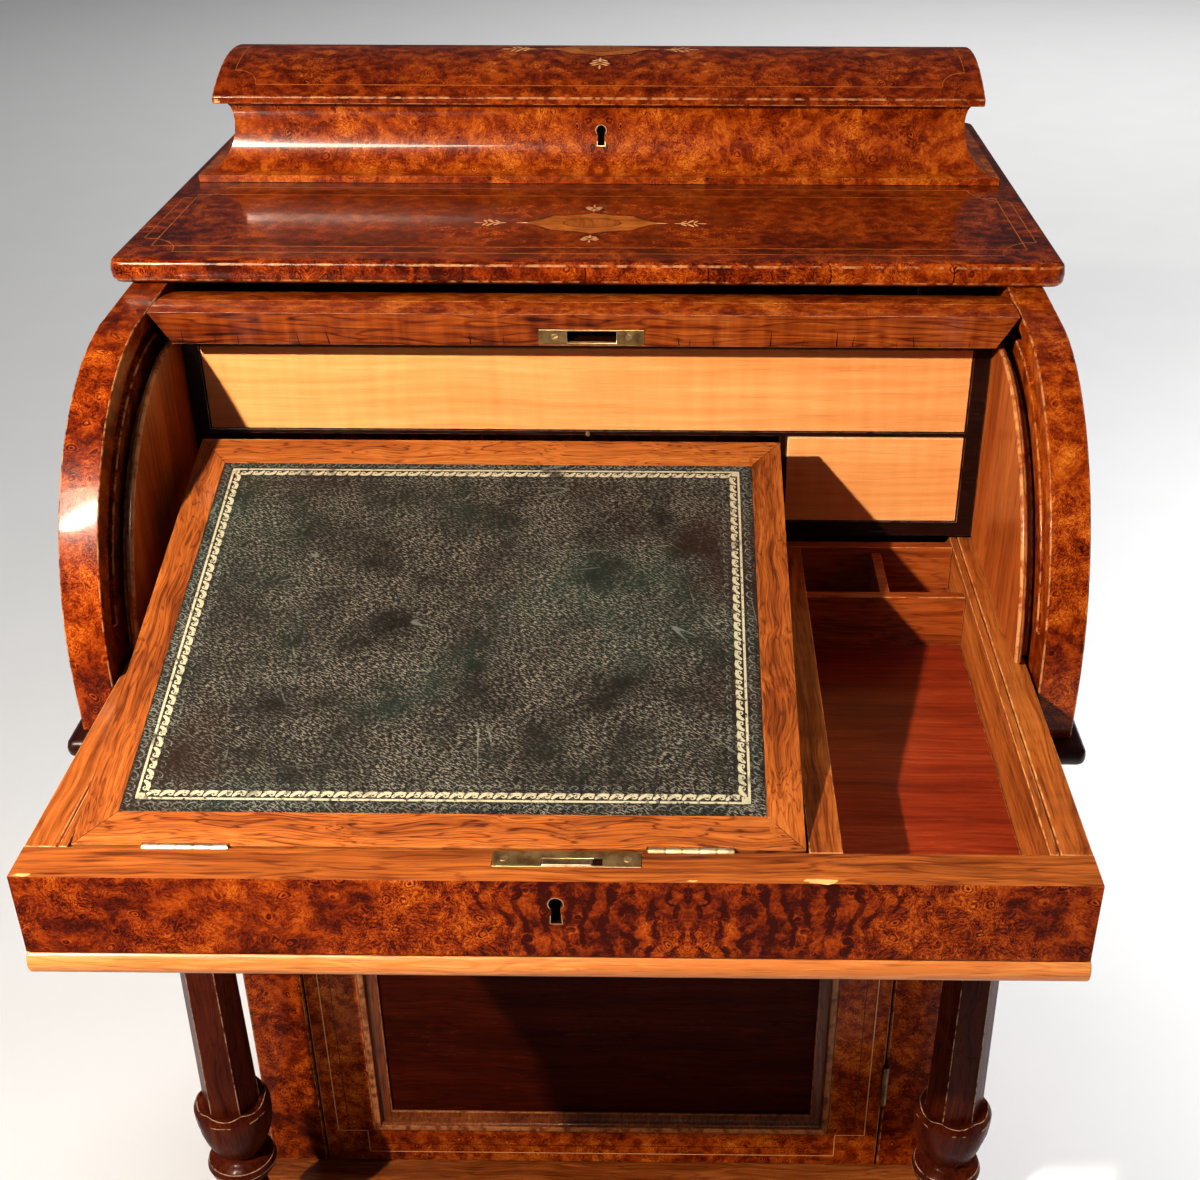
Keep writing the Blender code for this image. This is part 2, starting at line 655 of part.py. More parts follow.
def edge_rail(frame, lip_end):
    """Thick bottom rail of the fall: mitred ends, and the strike plate let into its flat face."""
    inner = CYL_R - CYL_LIP_T
    outer_lip = (-math.sqrt(CYL_R ** 2 - LIP_LOW ** 2), LIP_LOW)
    inner_lip = (-math.sqrt(inner ** 2 - LIP_LOW ** 2), LIP_LOW)
    outline = ([outer_lip] + arc((0, 0), CYL_R, LIP_ANGLE, lip_end, 4)[1:]
               + arc((0, 0), inner, lip_end, math.asin(LIP_LOW / inner), 4)[:-1] + [inner_lip])

    def section(side):
        reach = [CYL_HALF - LIP_MITRE * (CYL_R - math.hypot(y, z)) / CYL_LIP_T for y, z in outline]
        return [(side * x, y, z) for x, (y, z) in zip(reach, outline)]

    strike_y = BOLT_Y + SLIDE_TRAVEL - AXIS_Y
    half_w, half_d = STRIKE_W / 2, STRIKE_D / 2
    slot_w, slot_d = STRIKE_SLOT_W / 2, STRIKE_SLOT_D / 2

    def at_strike(w, d, z0, z1):
        return block((LOCK_X - w, LOCK_X + w), (strike_y - d, strike_y + d), (LIP_LOW + z0, LIP_LOW + z1))

    bed = at_strike(half_w + FIT, half_d + FIT, -RUN, STRIKE_T + FIT)
    mortise = at_strike(slot_w, slot_d, 0, MORTISE_DEPTH)
    piece("cylinder_edge_rail", "walnut", cut(loft([section(-1), section(1)]), bed, mortise), frame)
    plate = cut(at_strike(half_w, half_d, 0, STRIKE_T), at_strike(slot_w, slot_d, -RUN, STRIKE_T + RUN))
    piece("strike_plate", "brass", plate, frame)


def bead_outline():
    """Rounded bead moulding in (y, z)."""
    radius = BEAD_H / 2
    nose = SLIDE_FRONT_Y - BEAD_PROUD + radius
    middle = BEAD_Z + radius
    round_front = [(nose - radius * math.cos(a), middle + radius * math.sin(a))
                   for a in (math.radians(-90 + 22.5 * i) for i in range(9))]
    return round_front + [(SLIDE_RAIL_Y, BEAD_Z + BEAD_H), (SLIDE_RAIL_Y, BEAD_Z)]


def side_outline(side):
    """Slide side in (x, z), with the groove that marks off its inner strip."""
    groove = SLIDE_INNER + SLIDE_LINER_W
    points = [(SLIDE_INNER, SLIDE_Z), (SLIDE_INNER, SLIDE_TOP), (groove - SLIDE_GROOVE / 2, SLIDE_TOP),
              (groove, SLIDE_TOP - SLIDE_GROOVE), (groove + SLIDE_GROOVE / 2, SLIDE_TOP),
              (SLIDE_HALF, SLIDE_TOP), (SLIDE_HALF, SLIDE_Z)]
    return [(side * x, z) for x, z in points]


def slide_box(frame):
    """The drawer-like slide: burr front, bead, sides, floor, back and the pen tray's walls."""
    def add(name, finish, mesh):
        return piece(name, finish, moved(mesh, -frame.location), frame)

    start = SLIDE_RAIL_Y + FIT
    wall_z = (FLOOR_TOP + FIT, SLIDE_TOP)
    front = block((-SLIDE_HALF, SLIDE_HALF), (SLIDE_FRONT_Y, SLIDE_RAIL_Y), (SLIDE_FACE_Z, SLIDE_TOP))
    knuckles = [moved(rod_x(HINGE_PIN_R + FIT, -HINGE_LENGTH / 2 - FIT, HINGE_LENGTH / 2 + FIT),
                      (x, HINGE_Y, HINGE_Z)) for x in HINGE_XS]
    eye = Vector((LOCK_X - LOCK_KEY_SIDE, SLIDE_FRONT_Y, SLIDE_TOP - SLIDE_KEY_DROP))
    hole = moved(keyhole(KEYHOLE_DEPTH, SLIDE_KEYHOLE_H), eye)
    add("slide_front", "burr", cut(front, *knuckles, *lock_blocks(FIT), hole))
    smooth(add("slide_bead", "walnut", prism_x(bead_outline(), -SLIDE_HALF - BEAD_PROUD / 2,
                                               SLIDE_HALF + BEAD_PROUD / 2)))
    for name, side in (("left", -1), ("right", 1)):
        add(f"slide_{name}_side", "walnut", prism_y(side_outline(side), start, SLIDE_REAR_Y))
    inner = SLIDE_INNER - FIT
    rear = TRAY_BACK_Y + SLIDE_BACK_T
    add("slide_floor", "mahogany", block((-inner, inner), (start, rear), (SLIDE_Z, FLOOR_TOP)))
    add("slide_back", "walnut", block((-inner, inner), (TRAY_BACK_Y, rear), wall_z))
    add("slide_divider", "walnut", block((DIVIDER_X, PEN_X), (start, TRAY_BACK_Y - FIT), wall_z))
    add("ink_partition", "walnut", ink_partition(inner))


def ink_partition(inner):
    """Cross wall of the pen tray with the tongue that parts the two ink wells."""
    back = TRAY_BACK_Y - FIT
    wall = back - INK_DEPTH
    middle = PEN_X + (SLIDE_INNER - PEN_X) * INK_SPLIT_SHARE
    left, right = middle - INK_SPLIT_T / 2, middle + INK_SPLIT_T / 2
    tee = [(PEN_X + FIT, wall - INK_WALL_T), (inner, wall - INK_WALL_T), (inner, wall), (right, wall),
           (right, back), (left, back), (left, wall), (PEN_X + FIT, wall)]
    return prism_z(tee, FLOOR_TOP + FIT, SLIDE_TOP - INK_WALL_DROP)


def lock_blocks(margin):
    """Selvedge and body of the slide lock, or with a margin the bed that is cut for them."""
    back = SLIDE_RAIL_Y if margin == 0 else SLIDE_RAIL_Y + RUN
    top = SLIDE_TOP if margin == 0 else SLIDE_TOP + RUN
    plate_y = SLIDE_RAIL_Y - LOCK_PLATE_D - margin
    plate_z = SLIDE_TOP - LOCK_PLATE_T
    half_plate, half_body = LOCK_PLATE_W / 2 + margin, LOCK_BODY_W / 2 + margin
    plate = block((LOCK_X - half_plate, LOCK_X + half_plate), (plate_y, back), (plate_z - margin, top))
    body_y = BOLT_Y - BOLT_T / 2 - LOCK_WALL - margin
    body = block((LOCK_X - half_body, LOCK_X + half_body), (body_y, back),
                 (plate_z - LOCK_BODY_H - margin, plate_z + margin + FIT))
    return [plate, body]


def slide_lock(frame):
    """Lock let into the front rail, with the bolt that shoots up into the strike."""
    half_w, half_t = BOLT_W / 2, BOLT_T / 2
    well = block((LOCK_X - half_w - FIT, LOCK_X + half_w + FIT), (BOLT_Y - half_t - FIT, BOLT_Y + half_t + FIT),
                 (SLIDE_TOP - BOLT_H - RUN, SLIDE_TOP + RUN))
    lock = cut(join(*lock_blocks(0)), well)
    piece("slide_lock", "brass", moved(lock, -frame.location), frame)
    place = Vector((LOCK_X, BOLT_Y, SLIDE_TOP))
    bolt_frame = empty("bolt_frame", place - frame.location, parent=frame)
    bolt = block((-half_w, half_w), (-half_t, half_t), (-BOLT_H, 0))
    soften(piece("lock_bolt", "steel", bolt, bolt_frame), FINE_EASE, 1)


def slope_hinges(frame):
    for name, x in zip(("left", "right"), HINGE_XS):
        half = HINGE_LENGTH / 2
        barrel = rod_x(HINGE_PIN_R, -half, half)
        leaf = block((-half, half), (-HINGE_LEAF_T, 0), (-HINGE_PIN_R / 2 - HINGE_LEAF_H, -HINGE_PIN_R / 2))
        hinge = moved(join(barrel, leaf), Vector((x, HINGE_Y, HINGE_Z)) - frame.location)
        smooth(piece(f"slope_hinge_{name}", "brass", hinge, frame))


def slope(frame):
    """Hinged writing slope: framed board with a sunk leather, and the prop that holds it up."""
    place = Vector((0, HINGE_Y, HINGE_Z)) - frame.location
    slope_frame = empty("slope_frame_axis", place, SLOPE_TILT, frame)
    board = block((SLOPE_X0, SLOPE_X1), (SLOPE_FRONT, SLOPE_LENGTH), (SLOPE_UNDER, SLOPE_TOP))
    x = SLOPE_X0 + SLOPE_FRAME_SIDE, SLOPE_X1 - SLOPE_FRAME_SIDE
    y = SLOPE_FRAME_FRONT, SLOPE_LENGTH - SLOPE_FRAME_BACK
    bed = SLOPE_TOP - LEATHER_T - FIT
    sunk = block((x[0] - FIT, x[1] + FIT), (y[0] - FIT, y[1] + FIT), (bed, SLOPE_TOP + RUN))
    reach = HINGE_LENGTH / 2 + 2 * FIT
    knuckles = [moved(rod_x(HINGE_PIN_R + 2 * FIT, -reach, reach), (at, 0, 0)) for at in HINGE_XS]
    piece("slope_board", "walnut", cut(board, sunk, *knuckles), slope_frame)
    piece("slope_leather", "leather", block(x, y, (bed + FIT, SLOPE_TOP)), slope_frame)
    prop(slope_frame)


def prop(slope_frame):
    """Easel prop hinged under the slope; its foot stands on the slide's floor."""
    pivot_z = SLOPE_UNDER - PROP_T / 2 - FIT
    height = HINGE_Z + PROP_ALONG * math.sin(SLOPE_TILT) + pivot_z * math.cos(SLOPE_TILT) - FLOOR_TOP
    length = (height - FIT - PROP_T / 2) / math.sin(SLOPE_TILT + PROP_TILT)
    middle = (SLOPE_X0 + SLOPE_X1) / 2
    prop_frame = empty("prop_axis", (middle, PROP_ALONG, pivot_z), PROP_TILT, slope_frame)
    radius = PROP_T / 2
    edge = [math.radians(-90 + 30 * i) for i in range(7)]
    outline = ([(radius * math.cos(a), radius * math.sin(a)) for a in edge]
               + [(-length - radius * math.cos(a), -radius * math.sin(a)) for a in edge])
    taper = (PROP_W_TOP - PROP_W_FOOT) / 2 / length

    def section(side):
        return [(side * (PROP_W_TOP / 2 + taper * min(y, 0)), y, z) for y, z in outline]

    smooth(piece("slope_prop", "walnut", loft([section(-1), section(1)]), prop_frame))


def slide():
    frame = empty("slide_frame", (0, SLIDE_FRONT_Y, SLIDE_Z))
    slide_box(frame)
    slide_lock(frame)
    slope_hinges(frame)
    slope(frame)


def box_profile():
    """Stationery box wall: (offset out from the waist, height), fillet, cavetto and flare."""
    lower = [math.radians(90 - 15 * i) for i in range(7)]
    upper = [math.radians(22.5 * i) for i in range(1, 5)]
    hollow = BOX_HOLLOW - RUN
    sweep = [(hollow * (1 - math.cos(a)), BOX_WAIST_Z - (BOX_WAIST_Z - BOX_FILLET_H) * math.sin(a))
             for a in lower]
    flare = [(BOX_FLARE * (1 - math.cos(a)), BOX_WAIST_Z + (BOX_H - BOX_WAIST_Z) * math.sin(a)) for a in upper]
    fillet = [(-BOX_WALL_T, 0), (BOX_HOLLOW, 0), (BOX_HOLLOW, BOX_FILLET_H)]
    return fillet + sweep + flare + [(-BOX_WALL_T, BOX_H)]


def stationery_box():
    """Box on the top board: hollowed front and sides mitred together, plain back and bottom."""
    profile = box_profile()

    def front(side):
        return [(side * (BOX_WAIST + o - FIT), BOX_WAIST_Y - o, BOX_Z + z) for o, z in profile]

    eye = Vector((BOX_KEY_SIDE, BOX_WAIST_Y - BOX_FLARE, BOX_Z + BOX_WAIST_Z - BOX_KEY_DROP))
    hole = moved(keyhole(KEYHOLE_DEPTH + BOX_FLARE, BOX_KEYHOLE_H), eye)
    smooth(piece("box_front", "burr", cut(loft([front(-1), front(1)]), hole)), 25)
    for name, side in (("left", -1), ("right", 1)):
        mitre = [(side * (BOX_WAIST + o), BOX_WAIST_Y - o + FIT, BOX_Z + z) for o, z in profile]
        rear = [(x, BOX_BACK_Y, z) for x, y, z in mitre]
        smooth(piece(f"box_{name}", "burr", loft([mitre, rear])), 25)
    inner = BOX_WAIST - BOX_WALL_T - FIT
    back = BOX_BACK_Y - BOX_BACK_T
    piece("box_back", "walnut", block((-inner, inner), (back, BOX_BACK_Y), (BOX_Z, BOX_TOP)))
    piece("box_bottom", "mahogany", block((-inner, inner), (BOX_WAIST_Y + BOX_WALL_T + FIT, back - FIT),
                                          (BOX_Z, BOX_Z + BOX_BOTTOM_T)))


def lid():
    """Barrel lid, hollowed below, on a strip hinge along the back."""
    frame = empty("lid_frame", (0, LID_HINGE_Y, BOX_TOP))
    low = BOX_TOP + FIT
    front, rear = BOX_WAIST_Y - BOX_FLARE - LID_OVERHANG, BOX_BACK_Y
    chord = (rear - front) / 2
    radius = (chord ** 2 + LID_RISE ** 2) / (2 * LID_RISE)
    half = math.asin(chord / radius)
    centre = ((front + rear) / 2, low + LID_EDGE_H + LID_RISE - radius)
    dome = arc(centre, radius, math.pi / 2 - half, math.pi / 2 + half, LID_STEPS)
    width = BOX_WAIST + BOX_FLARE + LID_OVERHANG
    body = prism_x([(front, low)] + dome + [(rear, low)], -width, width)
    hollow = block((-BOX_WAIST + LID_WALL_T, BOX_WAIST - LID_WALL_T),
                   (BOX_WAIST_Y + LID_WALL_T, rear - LID_WALL_T), (low - RUN, low + LID_HOLLOW))
    smooth(piece("lid", "burr", moved(cut(body, hollow), -frame.location), frame), 25)
    barrel = rod_x(LID_HINGE_R, -LID_HINGE_L / 2, LID_HINGE_L / 2, 12)
    leaf_y = BOX_BACK_Y + FIT - LID_HINGE_Y
    leaf = block((-LID_HINGE_L / 2, LID_HINGE_L / 2), (leaf_y, leaf_y + LID_LEAF_T), (-LID_LEAF_H, 0))
    smooth(piece("lid_hinge", "brass", moved(join(barrel, leaf), frame.location)))


def pedestal():
    """Cupboard under the case: sides, back, shelf and the pilasters beside the door."""
    z = (PED_Z + FIT, CASE_Z)
    behind = PED_FRONT_Y + PILASTER_T
    for name, side in (("left", -1), ("right", 1)):
        wall = sorted((side * (PED_HALF - PED_SIDE_T), side * PED_HALF))
        soften(piece(f"{name}_pedestal_side", "burr", block(wall, (behind + FIT, PED_BACK_Y), z)), EASE, 1)
        face = sorted((side * (PED_HALF - PILASTER_W), side * PED_HALF))
        soften(piece(f"{name}_pilaster", "burr", block(face, (PED_FRONT_Y, behind), z)), EASE, 1)
    inner = PED_HALF - PED_SIDE_T - FIT
    back = PED_BACK_Y - PED_BACK_T
    piece("pedestal_back", "pine", block((-inner, inner), (back, PED_BACK_Y), z))
    shelf_z = PED_Z + PED_SHELF_RISE
    piece("pedestal_shelf", "pine", block((-inner, inner), (behind + PED_SHELF_SETBACK, back - FIT),
                                          (shelf_z, shelf_z + PED_SHELF_T)))


def moulding_ring(x, z, profile):
    """A mitred frame of moulding round an opening: profile is (inward from the edge, y)."""
    corners = ((x[0], z[0], 1, 1), (x[1], z[0], -1, 1), (x[1], z[1], -1, -1), (x[0], z[1], 1, -1))
    work = bmesh.new()
    rings = [[work.verts.new((cx + sx * w, y, cz + sz * w)) for w, y in profile] for cx, cz, sx, sz in corners]
    for near, far in zip(rings, rings[1:] + rings[:1]):
        for i in range(len(profile)):
            j = (i + 1) % len(profile)
            work.faces.new((near[i], near[j], far[j], far[i]))
    return to_mesh("moulding", work)


def panel_moulding(face, back):
    """Profile of the door's moulding, (inward, y): a bead, a cove and a thin lip on the panel."""
    half = DOOR_BEAD_W / 2
    bead = [(half * (1 - math.cos(a)), face - DOOR_MOULD_PROUD * math.sin(a))
            for a in (math.radians(36 * i) for i in range(6))]
    width, depth = DOOR_MOULD_W - DOOR_BEAD_W, back - DOOR_LIP_T - face
    cove = [(DOOR_MOULD_W - width * math.cos(a), face + depth * math.sin(a))
            for a in (math.radians(30 * i) for i in range(1, 4))]
    return [(0, back)] + bead + cove + [(DOOR_MOULD_W, back)]


def door():
    """Framed cupboard door with a sunk panel held by a proud moulding, hinged on the right."""
    frame = empty("door_frame_axis", DOOR_AXIS)

    def add(name, finish, mesh):
        return piece(name, finish, moved(mesh, -frame.location), frame)

    x = -DOOR_HALF, DOOR_HALF
    y = PED_FRONT_Y, PED_FRONT_Y + DOOR_T
    inner_x = x[0] + DOOR_FRAME_W, x[1] - DOOR_FRAME_W
    inner_z = DOOR_Z0 + DOOR_FOOT_W, DOOR_Z1 - DOOR_FRAME_W
    opening = block(inner_x, (y[0] - RUN, y[1] + RUN), inner_z)
    hole = moved(keyhole(KEYHOLE_DEPTH), (x[0] + DOOR_FRAME_W / 2, y[0], (DOOR_Z0 + DOOR_Z1) / 2))
    add("door_frame", "burr", cut(block(x, y, (DOOR_Z0, DOOR_Z1)), opening, hole))
    panel_x = inner_x[0] + FIT, inner_x[1] - FIT
    panel_z = inner_z[0] + FIT, inner_z[1] - FIT
    panel_y = y[1] - DOOR_PANEL_BACK - DOOR_PANEL_T, y[1] - DOOR_PANEL_BACK
    add("door_panel", "ebonised", block(panel_x, panel_y, panel_z))
    back = panel_y[0] - FIT
    smooth(add("door_moulding", "walnut", moulding_ring(panel_x, panel_z, panel_moulding(y[0], back))))
    door_hinges(frame)


def door_hinges(frame):
    """Butt hinges in the gap between door and right pilaster."""
    half = DOOR_HINGE_L / 2
    turns = [2 * math.pi * i / 12 for i in range(12)]
    circle = [(DOOR_HINGE_R * math.cos(a), DOOR_HINGE_R * math.sin(a)) for a in turns]
    for name, z in (("lower", DOOR_Z0 + DOOR_HINGE_INSET), ("upper", DOOR_Z1 - DOOR_HINGE_INSET)):
        barrel = prism_z(circle, -half, half)
        leaf = block((-DOOR_LEAF_T / 2, DOOR_LEAF_T / 2), (0, DOOR_LEAF_D), (-half, half))
        hinge = moved(join(barrel, leaf), frame.location + Vector((0, 0, z)))
        smooth(piece(f"door_hinge_{name}", "brass", hinge))


def shaft_side(radius, turn):
    """Distance to the side of the six-sided shaft in this direction; a flat faces the front."""
    facet = 2 * math.pi / COLUMN_SIDES
    return radius * math.cos(facet / 2) / math.cos((turn - FRONT + facet / 2) % facet - facet / 2)


def half_round(inner, outer, low, high):
    """Radius and height of a bead turned round a column."""
    turns = [math.radians(-90 + 30 * i) for i in range(7)]
    middle, reach = (low + high) / 2, (high - low) / 2
    return [(inner + (outer - inner) * math.cos(a), middle + reach * math.sin(a)) for a in turns]


def column_foot():
    """Turned foot below the cup: base bead, fillet, vase and the collar that carries the cup."""
    collar_z = CUP_Z - COLLAR_H
    vase_z = COLUMN_BASE_H + COLUMN_FILLET_H
    shares = [i / 8 for i in range(9)]
    vase = [(VASE_NECK_R + (VASE_R - VASE_NECK_R) * math.sin(math.pi * (1 - s) ** 1.6),
             vase_z + (collar_z - vase_z) * s) for s in shares]
    base = half_round(VASE_R, COLUMN_BASE_R, FIT, COLUMN_BASE_H)
    return base + vase + half_round(VASE_NECK_R, COLLAR_R, collar_z, CUP_Z)[1:-1]


def cup_rings(ring):
    """Carved cup: petals under the shaft's arrises, and a rim that hangs in swags between them."""
    half = COLUMN_SIDES / 2
    rings = []
    for share in (0.0, 0.1, 0.25, 0.42, 0.6, 0.78, 0.92):
        swell = CUP_NECK_R + (CUP_R - CUP_NECK_R) * math.sin(math.pi / 2 * min(share / 0.78, 1)) ** 0.8
        groove = CUP_GROOVE * math.sin(math.pi * share)
        z = CUP_Z + (CUP_H - CUP_SWAG) * share
        rings.append(ring(lambda a: swell - groove * (1 - abs(math.sin((a - FRONT) * half)) ** 0.5), lambda a: z))
    rim = CUP_Z + CUP_H
    for radius, drop in ((lambda a: CUP_RIM_R, 0.0), (lambda a: shaft_side(SHAFT_FOOT_R, a), CUP_LIP)):
        rings.append(ring(radius, lambda a: rim - drop - CUP_SWAG * abs(math.cos((a - FRONT) * half))))
    return rings


def column_mesh():
    """One column: turned foot, carved cup, six-sided tapering shaft and turned cap."""
    turns = [2 * math.pi * i / COLUMN_STEPS for i in range(COLUMN_STEPS)]

    def ring(radius, height):
        return [(radius(a) * math.cos(a), radius(a) * math.sin(a), height(a)) for a in turns]

    def plain(profile):
        return [ring(lambda a: r, lambda a: z) for r, z in profile]

    top = PEDESTAL_H - FIT
    block_z = top - CAP_BLOCK_H
    bead_z = block_z - CAP_COVE_H
    shaft_top = bead_z - CAP_BEAD_H
    cap = half_round(CAP_NECK_R, CAP_R, shaft_top, bead_z)
    cap += [(CAP_NECK_R, bead_z + CAP_COVE_H / 2), (CAP_R, block_z), (CAP_R, top)]
    shaft = ring(lambda a: shaft_side(SHAFT_TOP_R, a), lambda a: shaft_top)
    return loft(plain(column_foot()) + cup_rings(ring) + [shaft] + plain(cap))


def columns():
    for name, side in (("left", -1), ("right", 1)):
        mesh = moved(column_mesh(), (side * COLUMN_X, COLUMN_Y, PED_Z))
        smooth(piece(f"{name}_column", "dark_walnut", mesh), 30)


def plinth():
    """Moulded plinth board on a box frame with corner blocks, standing on four bun feet."""
    half = PED_HALF + PLINTH_SIDE_PROUD
    x, y = (-half, half), (COLUMN_Y - PLINTH_FRONT_PROUD, PED_BACK_Y + PLINTH_BACK_PROUD)
    board = piece("plinth_board", "burr", block(x, y, (BOARD_Z + FIT, PED_Z)))
    soften(board, PLINTH_EDGE, 3)
    x = x[0] + PLINTH_SET_IN, x[1] - PLINTH_SET_IN
    y = y[0] + PLINTH_SET_IN, y[1] - PLINTH_SET_IN
    z = FOOT_H + FIT, BOARD_Z
    wall, corner = PLINTH_WALL_T, CORNER_BLOCK + PLINTH_WALL_T
    inside = [(x[0] + corner, y[0] + wall), (x[1] - corner, y[0] + wall), (x[1] - wall, y[0] + corner),
              (x[1] - wall, y[1] - corner), (x[1] - corner, y[1] - wall), (x[0] + corner, y[1] - wall),
              (x[0] + wall, y[1] - corner), (x[0] + wall, y[0] + corner)]
    hollow = prism_z(inside, z[0] - RUN, z[1] + RUN)
    piece("plinth_frame", "burr", cut(block(x, y, z), hollow))
    for row, foot_y in (("front", y[0] + FOOT_INSET), ("back", y[1] - FOOT_INSET)):
        for name, foot_x in (("left", x[0] + FOOT_INSET), ("right", x[1] - FOOT_INSET)):
            mesh = moved(bun_foot(), (foot_x, foot_y, 0))
            smooth(piece(f"{row}_{name}_foot", "dark_walnut", mesh))


def bun_foot():
    """A flattened ball with a flat pad below and a short neck above."""
    bun_h = FOOT_H - FOOT_NECK_H
    low = -math.acos(FOOT_PAD_R / FOOT_R)
    high = math.acos(FOOT_NECK_R / FOOT_R)
    turns = [low + (high - low) * i / 10 for i in range(11)]
    reach = bun_h / (math.sin(high) - math.sin(low))
    bun = [(FOOT_R * math.cos(a), reach * (math.sin(a) - math.sin(low))) for a in turns]
    return turned(bun + [(FOOT_NECK_R, FOOT_H)], FOOT_STEPS)


def main():
    for old in list(bpy.data.objects):
        bpy.data.objects.remove(old)
    top_board()
    ends()
    linings()
    case_shell()
    fitment()
    drawers()
    cylinder()
    slide()
    stationery_box()
    lid()
    pedestal()
    door()
    columns()
    plinth()


main()
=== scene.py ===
"""Looks of a davenport desk with a cylinder fall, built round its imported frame. Metres, +Z up."""

import json
import math
import random
from functools import partialmethod

import bmesh
import bpy
from mathutils import Matrix, Vector
from mathutils.bvhtree import BVHTree


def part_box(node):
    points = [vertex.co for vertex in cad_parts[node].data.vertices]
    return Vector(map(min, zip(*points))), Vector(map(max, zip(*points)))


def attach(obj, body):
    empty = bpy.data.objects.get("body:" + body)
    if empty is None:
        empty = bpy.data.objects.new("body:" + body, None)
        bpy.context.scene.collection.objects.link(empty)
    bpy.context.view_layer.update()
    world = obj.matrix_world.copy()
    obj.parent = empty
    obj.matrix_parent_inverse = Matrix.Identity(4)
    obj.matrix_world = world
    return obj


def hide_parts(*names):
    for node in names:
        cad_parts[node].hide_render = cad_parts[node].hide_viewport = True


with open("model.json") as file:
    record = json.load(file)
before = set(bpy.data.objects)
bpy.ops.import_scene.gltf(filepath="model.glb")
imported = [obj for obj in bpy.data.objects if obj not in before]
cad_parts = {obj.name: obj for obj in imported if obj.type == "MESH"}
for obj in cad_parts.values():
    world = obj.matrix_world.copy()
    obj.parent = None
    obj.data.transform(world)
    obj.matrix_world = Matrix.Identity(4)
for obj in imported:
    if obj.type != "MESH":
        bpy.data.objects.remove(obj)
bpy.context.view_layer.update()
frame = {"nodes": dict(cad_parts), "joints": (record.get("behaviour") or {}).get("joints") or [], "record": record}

NODES = frame["nodes"]
BODY = {node: body for body, nodes in frame["record"]["behaviour"]["bodies"].items() for node in nodes}
JOINT = {joint["name"]: joint for joint in frame["joints"]}
MM = 0.001
UP = (0, 0, 1)
FLAT = 0.06 * MM  # half the thickness of flat inlay and tooling


# Node trees

class Value:
    """A socket in a node tree. Sums on it add Math nodes to that tree."""

    def __init__(self, graph, socket):
        self.graph, self.socket = graph, socket

    def output(self, name):
        return Value(self.graph, self.socket.node.outputs[name])

    def math(self, operation, *others):
        return self.graph.node("ShaderNodeMath", {"operation": operation}, dict(enumerate((self, *others))))

    __add__ = __radd__ = partialmethod(math, "ADD")
    __mul__ = __rmul__ = partialmethod(math, "MULTIPLY")
    __sub__ = partialmethod(math, "SUBTRACT")
    __truediv__ = partialmethod(math, "DIVIDE")
    __pow__ = partialmethod(math, "POWER")
    sin = partialmethod(math, "SINE")
    size = partialmethod(math, "ABSOLUTE")
    floor = partialmethod(math, "FLOOR")
    above = partialmethod(math, "MAXIMUM")

    def __rsub__(self, other):
        return self.graph.node("ShaderNodeMath", {"operation": "SUBTRACT"}, {0: other, 1: self})

    def ease(self, low, high):
        """0 at low and 1 at high, with a smooth change between them."""
        return self.graph.node("ShaderNodeMapRange", {"interpolation_type": "SMOOTHSTEP"},
                               {"Value": self, "From Min": low, "From Max": high})


class Graph:
    """A node tree being filled. node() adds any node: its settings first, then its sockets."""

    def __init__(self, tree):
        self.tree = tree
        tree.nodes.clear()

    def node(self, kind, settings=None, sockets=None, output=0):
        made = self.tree.nodes.new(kind)
        for key, value in (settings or {}).items():
            if key == "stops":
                stops = made.color_ramp.elements
                while len(stops) < len(value):
                    stops.new(1.0)
                for stop, (place, colour) in zip(stops, value):
                    stop.position, stop.color = place, (*colour, 1.0)
            else:
                setattr(made, key, value)
        for key, value in (sockets or {}).items():
            if isinstance(value, Value):
                self.tree.links.new(value.socket, made.inputs[key])
            else:
                made.inputs[key].default_value = value
        return Value(self, made.outputs[output]) if made.outputs else None


